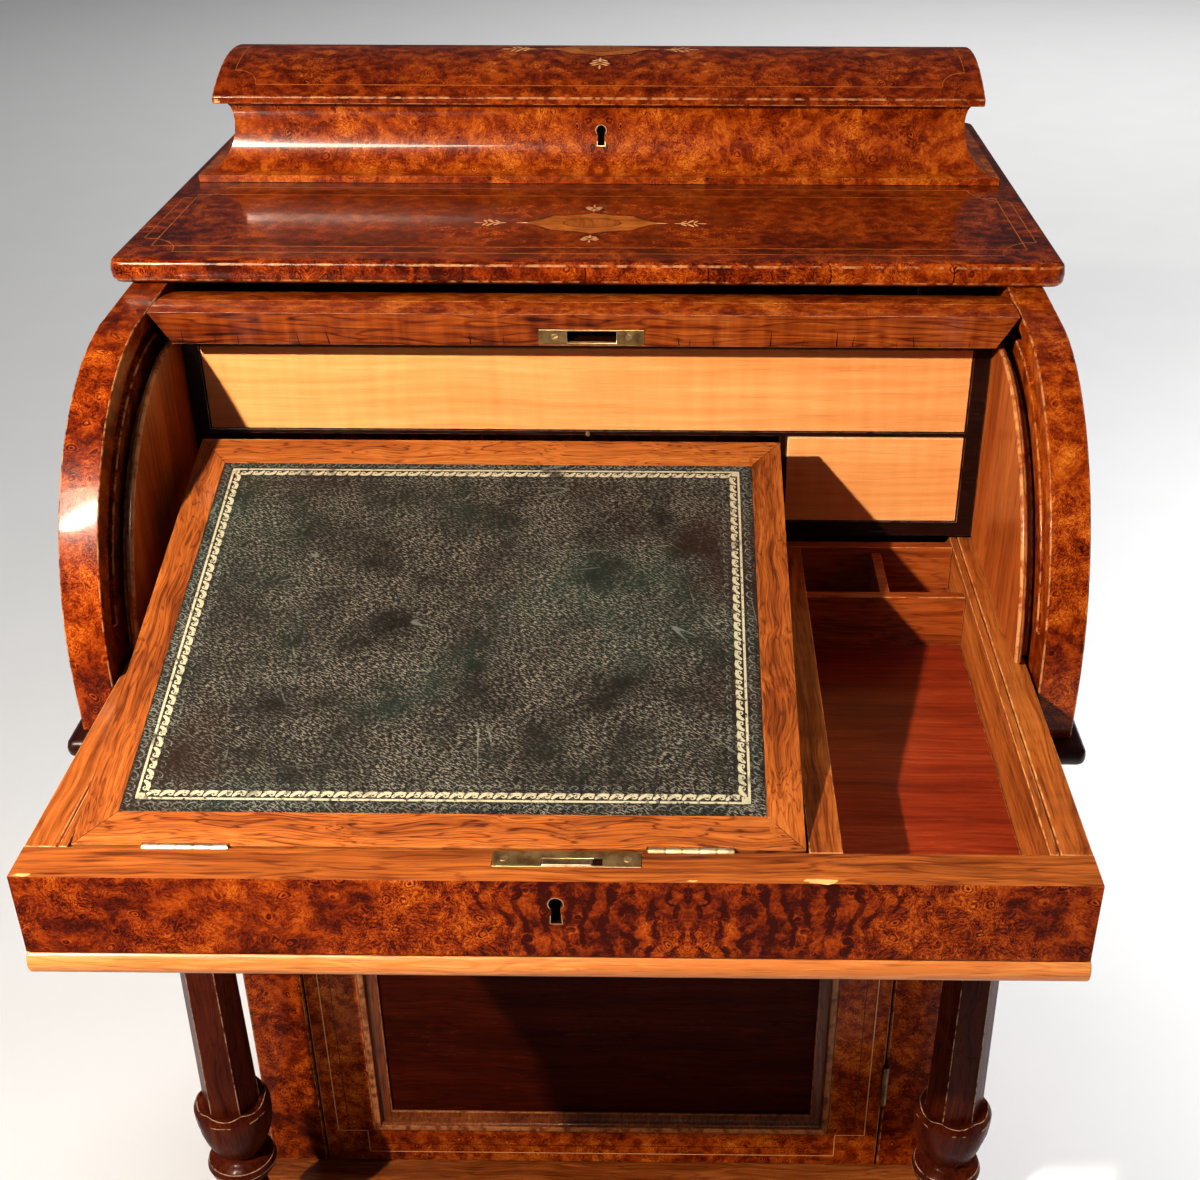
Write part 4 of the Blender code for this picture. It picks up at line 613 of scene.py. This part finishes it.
def slope_extent(node):
    """Corners of a node's box on the slope: low x, high x, low y, high y and top."""
    spots = [TO_SLOPE @ v.co for v in NODES[node].data.vertices]
    xs, ys, zs = zip(*spots)
    return min(xs), max(xs), min(ys), max(ys), max(zs)


def on_board(p):
    return Vector((p.x, p.y, BOARD_TOP + p.z))


def on_lid(p):
    return Vector((p.x, p.y, LID_Z + math.sqrt(LID_R ** 2 - (p.y - LID_Y) ** 2) + p.z))


def on_door(p):
    return Vector((p.x, DOOR_FACE - p.z, p.y))


def on_skin(p):
    return SLOPE @ Vector((p.x, p.y, p.z + SKIN_TOP))


def on_slope(p):
    return SLOPE @ Vector((p.x, p.y, p.z + SLOPE_TOP))


def on_lip(p):
    """p.y runs up the front of the fall's lip from its lower edge."""
    return Vector((p.x, LIP_Y, LIP_Z)) + LIP_OUT * p.z + Vector((0, LIP_OUT.z, -LIP_OUT.y)) * p.y


def laid(mesh, place):
    """Bends flat work onto a surface."""
    for vertex in mesh.vertices:
        vertex.co = place(vertex.co)
    return mesh


SKIN_X0, SKIN_X1, SKIN_Y0, SKIN_Y1, SKIN_TOP = slope_extent("slope_leather")
SLOPE_X0, SLOPE_X1, SLOPE_Y0, SLOPE_Y1, SLOPE_TOP = slope_extent("slope_board")


# Recipes and drawings

def line_recipe():
    """A thin strip along each drawn line."""
    g = Recipe("inlaid line", Width="Float", Finish="Material")
    curve = g.node("GeometryNodeSetCurveNormal", {"mode": "Z_UP"}, {"Curve": g.curve()})
    strip = g.node("GeometryNodeCurvePrimitiveQuadrilateral", {"mode": "RECTANGLE"},
                   {"Width": g.given("Width"), "Height": 2 * FLAT})
    return g.done(g.node("GeometryNodeCurveToMesh", None,
                         {"Curve": curve, "Profile Curve": strip, "Fill Caps": True}))


def row_recipe():
    """A motif repeated along each drawn line, turned with it."""
    g = Recipe("row of motifs", Motif="Object", Pitch="Float", Size="Float", Finish="Material")
    curve = g.node("GeometryNodeResampleCurve", {"mode": "LENGTH"},
                   {"Curve": g.curve(), "Length": g.given("Pitch")})
    turn = g.node("FunctionNodeAlignRotationToVector", {"axis": "X", "pivot_axis": "Z"},
                  {"Vector": g.node("GeometryNodeInputTangent")})
    return g.done(g.repeated(curve, turn, g.given("Size")))


def stamp_recipe():
    """A motif at each drawn point. The drawing says which way its Z faces, its spin and its size."""
    g = Recipe("stamped motifs", Motif="Object", Finish="Material")
    stand = g.node("FunctionNodeAlignRotationToVector", {"axis": "Z"},
                   {"Vector": g.mark("facing", "FLOAT_VECTOR")})
    spin = g.node("FunctionNodeAxisAngleToRotation", None, {"Axis": UP, "Angle": g.mark("spin")})
    turn = g.node("FunctionNodeRotateRotation", {"rotation_space": "LOCAL"},
                  {"Rotation": stand, "Rotate By": spin})
    return g.done(g.repeated(g.given("Drawing"), turn, g.mark("size")))


inlaid, row, stamped = line_recipe(), row_recipe(), stamp_recipe()


def drawn_lines(*lines, step=2 * MM):
    """A drawing of lines in short steps. A line that ends where it began is closed."""
    points, edges = [], []
    for line in lines:
        line = [Vector(p).to_3d() for p in line]
        first = len(points)
        for a, b in zip(line, line[1:]):
            count = max(1, round((b - a).length / step))
            points += [a.lerp(b, i / count) for i in range(count)]
        closed = (line[0] - line[-1]).length < 1e-7
        if not closed:
            points.append(line[-1])
        edges += [(i, i + 1) for i in range(first, len(points) - 1)]
        if closed:
            edges.append((len(points) - 1, first))
    mesh = bpy.data.meshes.new("lines")
    mesh.from_pydata(points, edges, [])
    return mesh


def stamp(figure, finish, marks):
    """A mesh of figures. marks holds a spot, a facing, a spin and a size for each."""
    drawing = bpy.data.meshes.new("points")
    spots, facings, spins, sizes = zip(*marks)
    drawing.from_pydata(spots, [], [])
    for spot, facing in zip(drawing.attributes.new("facing", "FLOAT_VECTOR", "POINT").data, facings):
        spot.vector = facing
    for label, values in (("spin", spins), ("size", sizes)):
        drawing.attributes.new(label, "FLOAT", "POINT").data.foreach_set("value", values)
    return stamped.make(drawing, Motif=figure, Finish=finish)


def prism(bm, outline, low, high, index=0):
    """A closed plate with an anticlockwise outline between two heights."""
    under, over = ([bm.verts.new((x, y, z)) for x, y in outline] for z in (low, high))
    faces = [bm.faces.new(reversed(under)), bm.faces.new(over)]
    for i in range(len(outline)):
        faces.append(bm.faces.new((under[i - 1], under[i], over[i], over[i - 1])))
    for face in faces:
        face.material_index = index


def motif(name, *outlines, low=-FLAT, high=FLAT):
    """A figure for a recipe to repeat, made of flat plates."""
    bm = bmesh.new()
    for outline in outlines:
        prism(bm, outline, low, high)
    return bpy.data.objects.new(name, as_mesh(bm, name))


def ribbon(spine, widths):
    """The outline of a band along a spine."""
    left, right = [], []
    for i, (x, y) in enumerate(spine):
        a, b = spine[max(i - 1, 0)], spine[min(i + 1, len(spine) - 1)]
        along = Vector((b[0] - a[0], b[1] - a[1])).normalized()
        left.append((x - along.y * widths[i] / 2, y + along.x * widths[i] / 2))
        right.append((x + along.y * widths[i] / 2, y - along.x * widths[i] / 2))
    return right + left[::-1]


def in_mm(points):
    return [(x * MM, y * MM) for x, y in points]


def turns(count):
    """Angles at even steps of a full turn."""
    return [2 * math.pi * i / count for i in range(count)]


def star(count, inner, outer):
    """An outline whose points lie nearer and further by turns."""
    ways = enumerate(turns(count))
    return [Vector((math.cos(a), math.sin(a))) * (outer if i % 2 else inner) for i, a in ways]


def box_line(x0, x1, y0, y1):
    return [(x0, y0), (x1, y0), (x1, y1), (x0, y1), (x0, y0)]


def hollow_box(x0, x1, y0, y1, wide, deep, steps=8):
    """A closed line with quarter-round hollow corners."""
    line = []
    for cx, cy, start in ((x0, y0, 90), (x1, y0, 180), (x1, y1, 270), (x0, y1, 0)):
        angles = [math.radians(start - 90 * i / steps) for i in range(steps + 1)]
        line += [(cx + wide * math.cos(a), cy + deep * math.sin(a)) for a in angles]
    return line + line[:1]


# Slope frame with mitred corners

def slope_frame():
    """The slope's board with rails and stiles of their own grain, and thin dark joints at the mitres."""
    bm = solid_of("slope_board")
    soften(bm, 0.8 * MM)
    bm.transform(TO_SLOPE)
    seam = 0.15 * MM
    corners = []
    for ix, ox in ((SKIN_X0, SLOPE_X0), (SKIN_X1, SLOPE_X1)):
        for iy, oy in ((SKIN_Y0, SLOPE_Y0), (SKIN_Y1, SLOPE_Y1)):
            out = Vector((ox - ix, oy - iy, 0))
            side = Vector((-out.y, out.x, 0)).normalized()
            corners.append((Vector((ix, iy, 0)), out, side))
    for inner, _, side in corners:
        for shift in (-seam, seam):
            slice_at(bm, inner + side * shift, side)
    for face in bm.faces:
        spot = face.calc_center_median()
        face.material_index = int(SKIN_Y0 < spot.y < SKIN_Y1)
        for inner, out, side in corners:
            way = spot - inner
            if way.x * out.x > 0 and way.y * out.y > 0:
                across = way.dot(side)
                on_stile = (across > 0) == (side.x * out.x > 0)
                face.material_index = 2 if abs(across) < seam else int(on_stile)
    bm.transform(SLOPE)
    mesh = as_mesh(bm, "slope_board", rail_wood, stile_wood, dark_inlay_and_painted_shade)
    keep(mesh, "slope_board.dressed", "slope", "walnut", ["slope_board"])


slope_frame()


# Tooled leather

def tooling():
    """Gold line and running scrolls, with blind rows of curls on both sides of them."""
    stem = ((-3.6, -1.8), (-2.9, -0.8), (-1.7, 0.4), (-0.1, 1.0), (1.5, 0.9), (2.5, 0.1), (2.2, -0.8),
            (1.1, -1.2), (0.3, -0.6), (0.8, -0.1))
    swell = (0.9, 1.8, 2.2, 1.9, 1.5, 1.2, 1.0, 0.7, 0.6, 0.3)
    frond = ((-3.6, 1.4), (-1.0, 1.7), (1.8, 1.4), (3.3, 0.6), (3.1, 1.8), (0.2, 2.2))
    scroll = motif("scroll", in_mm(ribbon(stem, swell)), in_mm(frond))
    hook = ((-3.4, -1.6), (-2.6, 0.2), (-1.2, 1.3), (0.4, 1.7), (2.0, 1.0), (2.3, -0.5), (1.1, -1.3),
            (0.2, -0.5))
    curl = motif("curl", in_mm(ribbon(hook, (0.4, 0.7, 0.8, 0.8, 0.7, 0.6, 0.5, 0.3))))
    x0, x1, y0, y1 = -0.207, 0.092, 0.030, 0.285
    pitch, set_in = 7.05 * MM, 2.0 * MM
    gold = inlaid.make(drawn_lines(box_line(x0, x1, y0, y1)), Width=1.3 * MM, Finish=gold_tooling)
    keep(laid(gold, on_skin), "tooling.line", "slope", "leather")

    def rows(inset, start, size, figure, finish, name):
        """One row along each side, running anticlockwise, inset from the gold line."""
        a, b, c, d = x0 + inset, x1 - inset, y0 + inset, y1 - inset
        sides = [((a + start, c), (b - start, c)), ((b, c + start), (b, d - start)),
                 ((b - start, d), (a + start, d)), ((a, d - start), (a, c + start))]
        mesh = row.make(drawn_lines(*sides), Motif=figure, Pitch=pitch, Size=size, Finish=finish)
        keep(laid(mesh, on_skin), name, "slope", "leather")

    rows(3.2 * MM, 4.6 * MM, 1.0, scroll, gold_tooling, "tooling.scrolls")
    rows(8.6 * MM, 6.0 * MM, 0.75, curl, blind_tooling, "tooling.inner_curls")
    rows(-4.0 * MM, 4.0 * MM, 1.0, curl, blind_tooling, "tooling.outer_curls")
    corner = motif("corner", star(8, 1.8 * MM, 2.6 * MM))
    marks = [((x, y, 0), UP, 0.0, 1.0) for x in (x0 + set_in, x1 - set_in)
             for y in (y0 + set_in, y1 - set_in)]
    keep(laid(stamp(corner, gold_tooling, marks), on_skin), "tooling.corners", "slope", "leather")


tooling()


# Inlay

def bowed(corners, sag, steps=8):
    """A closed outline whose sides bow inwards by a share of their length."""
    outline = []
    for a, b in zip(corners, corners[1:] + corners[:1]):
        a, b = Vector(a), Vector(b)
        inward = Vector((a.y - b.y, b.x - a.x))
        for i in range(steps):
            t = i / steps
            outline.append(a.lerp(b, t) + inward * sag * 4 * t * (1 - t))
    return outline


def cartouche(name, body, middle, size, place):
    """Shaped tablet of light wood in a dark line, with an oval inside it and pale points at its ends."""
    corners = [(44, 0), (26, 16.5), (0, 24), (-26, 16.5), (-44, 0), (-26, -16.5), (0, -24), (26, -16.5)]
    tablet = [p * MM for p in bowed(corners, 0.07)]
    oval = [Vector((18 * math.cos(a), 10 * math.sin(a))) * MM for a in turns(40)]
    tip = [Vector(p) * MM for p in ((40.5, 0.0), (42.5, -1.0), (49.0, 0.0), (42.5, 1.0))]
    bm = bmesh.new()

    def plate(outline, grown, top, index):
        """One wood of the tablet, grown outwards. grown and top are in millimetres."""
        spots = [(p + p.normalized() * grown * MM) * size + Vector(middle) for p in outline]
        prism(bm, [(p.x, p.y) for p in spots], -0.05 * MM, top * MM, index)

    plate(tablet, 1.7, 0.04, 0)
    plate(tablet, 0.0, 0.06, 1)
    plate(oval, 0.8, 0.08, 0)
    plate(oval, 0.0, 0.10, 2)
    for side in (-1, 1):
        plate([p * side for p in tip], 0.0, 0.09, 3)
    # Cut into strips, so that the tablet can follow the barrel of the lid
    for i in range(-7, 8):
        slice_at(bm, (0, middle[1] + i * 4 * MM, 0), (0, 1, 0))
    mesh = laid(as_mesh(bm, name, dark_inlay_and_painted_shade, satin_x, satin_y, boxwood), place)
    keep(mesh, name, body, "burr_walnut")


def scattered(name, body, slot, figure, finish, marks, place):
    """Flat figures of unit size stamped at marks, all of one thickness, and laid on a surface."""
    mesh = stamp(figure, finish, marks)
    for vertex in mesh.vertices:
        vertex.co.z = math.copysign(FLAT, vertex.co.z)
    keep(laid(mesh, place), name, body, slot)


def sprig(origin, heading, length):
    """Leaves of one sprig: one at its foot, a bud at its end, and three pairs that lean out between them."""
    along = Vector((math.cos(heading), math.sin(heading)))
    leaves = [(0.0, 0.0, 0.46), (0.72, 0.0, 0.34)]
    for share, lean, size in ((0.18, 52, 0.36), (0.40, 58, 0.44), (0.62, 66, 0.34)):
        leaves += [(share, lean, size), (share, -lean, size)]
    return [((origin + along * length * share).to_3d(), UP, heading + math.radians(lean), length * size)
            for share, lean, size in leaves]


def sprigs(name, body, middle, size, place, reach):
    """A sprig of pale leaves at each end and on each long side of a cartouche."""
    leaf = motif("leaf", [(0.5 + 0.5 * math.cos(a), 0.11 * math.sin(a) * (1.1 + math.cos(a)) ** 0.5)
                          for a in turns(12)])
    marks = []
    for dx, dy, turn, length in ((53, 0, 0, 20), (-55, 0, 180, 20), (0, 26.5, 90, 16), (0, -26.5, -90, 16)):
        origin = Vector(middle) + Vector((dx, dy)) * MM * size
        marks += sprig(origin, math.radians(turn), length * MM * size * reach)
    scattered(name, body, "maple", leaf, boxwood, marks, place)


def stringing(name, body, place, width, finish, *lines):
    """Thin inlaid lines on a surface."""
    mesh = inlaid.make(drawn_lines(*lines), Width=width, Finish=finish)
    keep(laid(mesh, place), name, body, "maple")


for face, body, middle, size, place, reach in (
        ("top", "carcass", (0.0, 0.0845), 1.0, on_board, 1.0),
        ("lid", "lid", (0.0, LID_Y), 0.84, on_lid, 1.4)):
    cartouche(face + ".cartouche", body, middle, size, place)
    sprigs(face + ".sprigs", body, middle, size, place, reach)
stringing("top.line", "carcass", on_board, 0.6 * MM, boxwood_dim, box_line(-0.270, 0.270, 0.030, 0.150))
stringing("top.outer_line", "carcass", on_board, 0.5 * MM, boxwood_dim,
          hollow_box(-0.2785, 0.2785, 0.0175, 0.1690, 0.0245, 0.0285))
stringing("lid.line", "lid", on_lid, 0.45 * MM, boxwood_dim,
          hollow_box(-0.2535, 0.2535, LID_Y - 0.0628, LID_Y + 0.0628, 0.0170, 0.0172))


def door_lines():
    """Two lines on the door. The outer one steps in at the corners, the inner one stops short of them."""
    x, low, high, step = 0.211, 0.1548, 0.6215, 0.0235
    outer = []
    for side, y, into in ((-1, low, step), (1, low, step), (1, high, -step), (-1, high, -step)):
        notch = [(side * x, y + into), (side * (x - step), y + into), (side * (x - step), y)]
        outer += notch if side * into < 0 else notch[::-1]
    stringing("door.line", "door", on_door, 0.7 * MM, boxwood, outer + outer[:1])
    inset, clear = 8.7 * MM, step + 6 * MM
    inner = [((across, low + clear), (across, high - clear)) for across in (inset - x, x - inset)]
    inner += [((clear - x, y), (x - clear, y)) for y in (low + inset, high - inset)]
    stringing("door.inner_line", "door", on_door, 0.6 * MM, dark_inlay_and_painted_shade, *inner)


door_lines()


# Metalwork

def screw_head():
    """Two halves of a low round head on both sides of the slot."""
    radius, slot = 2.0 * MM, 0.32 * MM
    start = math.asin(slot / radius)
    arc = [start + (math.pi - 2 * start) * i / 10 for i in range(11)]
    half = [(radius * math.cos(a), radius * math.sin(a)) for a in arc]
    return motif("screw", half, [(-x, -y) for x, y in half], low=-0.2 * MM, high=0.28 * MM)


def knuckle(length, radius):
    """A short piece of a hinge's barrel with eased ends. Its axis is Z."""
    eased, ease, half = radius * 0.9, 0.3 * MM, length / 2
    bm = bmesh.new()
    rings = [[bm.verts.new((r * math.cos(a), r * math.sin(a), z)) for a in turns(18)]
             for r, z in ((eased, -half), (radius, ease - half), (radius, half - ease), (eased, half))]
    for low, high in zip(rings, rings[1:]):
        for i in range(len(low)):
            bm.faces.new((low[i - 1], low[i], high[i], high[i - 1]))
    bm.faces.new(reversed(rings[0]))
    bm.faces.new(rings[-1])
    return bpy.data.objects.new("knuckle", as_mesh(bm, "knuckle"))


def barrel(node, pivot, axis, radius, finish):
    """Five knuckles over a hinge's barrel, which the frame holds as one rod on an axis through pivot."""
    low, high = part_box(node)
    middle, facing = pivot.copy(), Vector((0, 0, 0))
    middle[axis], facing[axis] = middle_of(node)[axis], 1.0
    pitch = (high - low)[axis] / 5
    marks = [(middle + facing * pitch * (i - 2), facing, 0.0, 1.0) for i in range(5)]
    figure = knuckle(pitch - 0.8 * MM, radius + 0.15 * MM)
    keep(stamp(figure, finish, marks), node + ".knuckles", BODY[node], "brass")


for node in ("slope_hinge_left", "slope_hinge_right"):
    barrel(node, HINGE_AXIS, 0, 2.2 * MM, pale_brass)
for node in ("door_hinge_lower", "door_hinge_upper"):
    barrel(node, DOOR_AXIS, 2, 2.6 * MM, dark_brass)


def screws(node, finish, facing, across, y, z):
    """Screws at the same y and z, their slots turned any way."""
    marks = [((x, y, z), facing, 0.4 + 1.7 * i, 1.0) for i, x in enumerate(across)]
    keep(stamp(screw_head(), finish, marks), node + ".screws", BODY[node], "brass")


screws("slide_lock", pale_brass, UP, (-0.0247, 0.0338), middle_of("slide_lock").y, SLIDE_TOP)
screws("strike_plate", pale_brass, LIP_OUT, (-0.0169, 0.0269), -0.04485, 0.8360)
screws("lid_hinge", brass, (0, 1, 0), [0.055 * i for i in range(-3, 4)], 0.3465, 0.9075)


def painted_slot_shade():
    """A thin dark plate in the top of the lock, beside the bolt, that paints the shade of a slot there."""
    low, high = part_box("lock_bolt")
    clear, wide, deep = 0.2 * MM, 4.6 * MM, 0.1 * MM
    outline = box_line(high.x + clear, high.x + clear + wide, low.y, high.y)[:-1]
    bm = bmesh.new()
    # The dark plate is painted shade standing in for the depth of the slot.
    prism(bm, outline, SLIDE_TOP - deep, SLIDE_TOP + FLAT)
    keep(as_mesh(bm, "painted_slot_shade", dark_inlay_and_painted_shade), "slide_lock.gap", "slide", "ebonised_wood")


def frame_stud():
    """A small brass stud in the front of the drawers' frame."""
    marks = [((0.0003, -0.0208, 0.7660), (0, -1, 0), 0.0, 1.0)]
    keep(stamp(knuckle(3.0 * MM, 1.5 * MM), brass, marks), "fitment_frame.stud", "carcass", "brass")


painted_slot_shade()
frame_stud()


def key_thread(node, eye, height):
    """Brass thread let in round a keyhole, on whatever surface the front has there."""
    front = BVHTree.FromBMesh(solid_of(node))

    ahead = 0.05

    def on_front(p):
        hit = front.ray_cast(Vector((p.x, eye[1] - ahead, p.y)), Vector((0, 1, 0)))[0]
        return Vector((p.x, hit.y - p.z, p.y))

    radius, foot, grow = 3.4 * MM, 2.6 * MM, 0.3 * MM
    angles = [math.radians(-140 + 280 * i / 16) for i in range(17)]
    line = [(eye[0] + (radius + grow) * math.sin(a), eye[2] + (radius + grow) * math.cos(a)) for a in angles]
    low = eye[2] + radius - height - grow
    line += [(eye[0] + foot + grow, low), (eye[0] - foot - grow, low), line[0]]
    mesh = inlaid.make(drawn_lines(line, step=1 * MM), Width=0.45 * MM, Finish=brass)
    keep(laid(mesh, on_front), node + ".key_thread", BODY[node], "brass")


key_thread("slide_front", SLIDE_KEY, 14.8 * MM)
key_thread("box_front", BOX_KEY, 13.0 * MM)
key_thread("door_frame", DOOR_KEY, 12.0 * MM)


# Cracks, chips and stopping

def lip_checks():
    """Short cracks that rise from the lower edge of the fall's lip."""
    crack = motif("crack", [(0.0, -0.05), (1.0, -0.015), (1.0, 0.015), (0.0, 0.05)])
    chance = random.Random(11)
    count, half, strike_half = 26, 0.245, 0.039
    marks = []
    for i in range(count):
        across = -half + 2 * half * (i + chance.random()) / count
        if abs(across - LOCK_X) >= strike_half:
            marks.append(((across, 0.6 * MM, 0), UP, math.radians(chance.uniform(80, 100)),
                          chance.uniform(3.0, 9.0) * MM))
    scattered("cylinder_edge_rail.checks", "cylinder", "ebonised_wood", crack, dark_inlay_and_painted_shade, marks, on_lip)


lip_checks()


def chips():
    """Places where the veneer has come away and pale wood shows."""
    flake = [(0.5 * p.x, 0.14 * p.y) for p in star(9, 0.72, 1.0)]
    thick = 0.012  # as a share of the chip's length
    figure = motif("chip", flake, low=-thick / 2, high=thick / 2)
    lid_edge = [((-0.2622, 0.195, 0.9190), 4.6), ((-0.2615, 0.195, 0.9178), 5.6)]
    slide_edge = [((-0.247, -0.3786, SLIDE_TOP), 10.0), ((0.125, -0.3784, SLIDE_TOP), 16.0),
                  ((0.119, -0.3776, SLIDE_TOP), 9.0), ((0.064, -0.3788, SLIDE_TOP), 6.0)]
    for node, facing, spots in (("lid", (0, -1, 0), lid_edge), ("slide_front", UP, slide_edge)):
        marks = [(spot, facing, 0.0, size * MM) for spot, size in spots]
        keep(stamp(figure, bare_wood, marks), node + ".chips", BODY[node], "maple")


chips()


def fillers():
    """Pale stopping in the slope's open joints at the right."""
    upper = ((98.7, 290.5), (100.4, 290.5), (100.9, 296.0), (99.7, 305.0), (98.9, 305.0), (98.8, 297.0))
    lower = ((100.2, 21.5), (101.6, 12.0), (107.0, 8.5), (103.6, 14.0), (104.4, 17.0), (101.4, 21.5))
    bm = bmesh.new()
    for outline in (upper, lower):
        prism(bm, in_mm(outline), -0.05 * MM, 0.05 * MM)
    keep(laid(as_mesh(bm, "fillers", boxwood_dim), on_slope), "slope_board.fillers", "slope", "maple")


fillers()


# Studio

def studio():
    """A pale floor, the lights, and a dim world that the camera sees brighter than it shines."""
    floor_mesh = bpy.data.meshes.new("floor")
    reach = 9.0
    corners = [(-reach, -reach, 0), (reach, -reach, 0), (reach, reach, 0), (-reach, reach, 0)]
    floor_mesh.from_pydata(corners, [], [(0, 1, 2, 3)])
    f = Finish("pale floor")
    mottle = f.noise(f.place(), 6, 3)
    floor_mesh.materials.append(f.done(f.mix(mottle, (0.80, 0.80, 0.80), (0.84, 0.84, 0.84)),
                                       0.6 + mottle * 0.1, specular_ior_level=0.1))
    stood("floor", floor_mesh)

    desk, ground = Vector((0.0, -0.05, 0.70)), Vector((1.6, 4.6, 0.0))
    warm, cream, white = (1.0, 0.92, 0.82), (1.0, 0.86, 0.68), (1.0, 1.0, 1.0)
    for name, spot, aim, wide, high, spread, power, colour, lights, shines in (
            ("key light", (-0.62, -0.92, 1.38), desk, 0.03, 0.03, 180, 34, warm, True, False),
            ("key glow", (-0.62, -0.92, 1.50), desk, 0.06, 0.28, 180, 48, cream, False, True),
            ("window", (-0.40, -0.80, 1.50), desk, 0.50, 0.22, 180, 15, cream, False, True),
            ("fill light", (1.7, -1.7, 1.7), desk, 1.6, 1.6, 180, 1.8, white, True, True),
            ("back light", (2.0, 4.5, 5.0), ground, 3.0, 3.0, 180, 270, white, True, False),
            ("floor light", (2.1, 0.3, 2.6), Vector((2.1, 0.3, 0.0)), 1.5, 1.5, 95, 48, white, True, False),
            ("side light", (-2.4, 0.6, 1.6), desk, 1.2, 1.2, 180, 13, white, True, False)):
        lamp = bpy.data.lights.new(name, "AREA")
        lamp.shape, lamp.size, lamp.size_y, lamp.energy, lamp.color = "ELLIPSE", wide, high, power, colour
        lamp.spread = math.radians(spread)
        stand = stood(name, lamp)
        stand.visible_diffuse, stand.visible_glossy = lights, shines
        stand.location = spot
        stand.rotation_mode = "QUATERNION"
        stand.rotation_quaternion = (aim - Vector(spot)).to_track_quat("-Z", "Y")

    world = bpy.data.worlds.new("studio")
    world.use_nodes = True
    sky = Graph(world.node_tree)
    shone, shown = 0.06, 0.5
    strength = shone + sky.node("ShaderNodeLightPath", output="Is Camera Ray") * shown
    shell = sky.node("ShaderNodeBackground", None, {"Color": (*white, 1.0), "Strength": strength})
    sky.node("ShaderNodeOutputWorld", None, {"Surface": shell})
    bpy.context.scene.world = world
    bpy.context.scene.view_settings.view_transform = "Standard"


IMAGE_WIDTH, IMAGE_HEIGHT = 1200, 1180
FOCAL_PIXELS, AXIS_PIXEL = 1634.35, (654.6, 721.6)
CAMERA_SPOT, CAMERA_TURN = (0.0532, -0.9765, 1.1601), (0.6625, -32.393, 0.103)


def camera():
    """The camera that was fitted to the photograph."""
    lens = bpy.data.cameras.new("photograph")
    lens.sensor_fit, lens.sensor_width = "HORIZONTAL", 36.0
    lens.lens = FOCAL_PIXELS * lens.sensor_width / IMAGE_WIDTH
    lens.shift_x = (IMAGE_WIDTH / 2 - AXIS_PIXEL[0]) / IMAGE_WIDTH
    lens.shift_y = (AXIS_PIXEL[1] - IMAGE_HEIGHT / 2) / IMAGE_WIDTH
    stand = stood("photograph", lens)
    yaw, pitch, roll = (math.radians(a) for a in CAMERA_TURN)
    stand.matrix_world = (Matrix.Translation(CAMERA_SPOT) @ Matrix.Rotation(yaw, 4, "Z")
                          @ Matrix.Rotation(math.pi / 2 + pitch, 4, "X") @ Matrix.Rotation(roll, 4, "Z"))
    bpy.context.scene.camera = stand


studio()
camera()
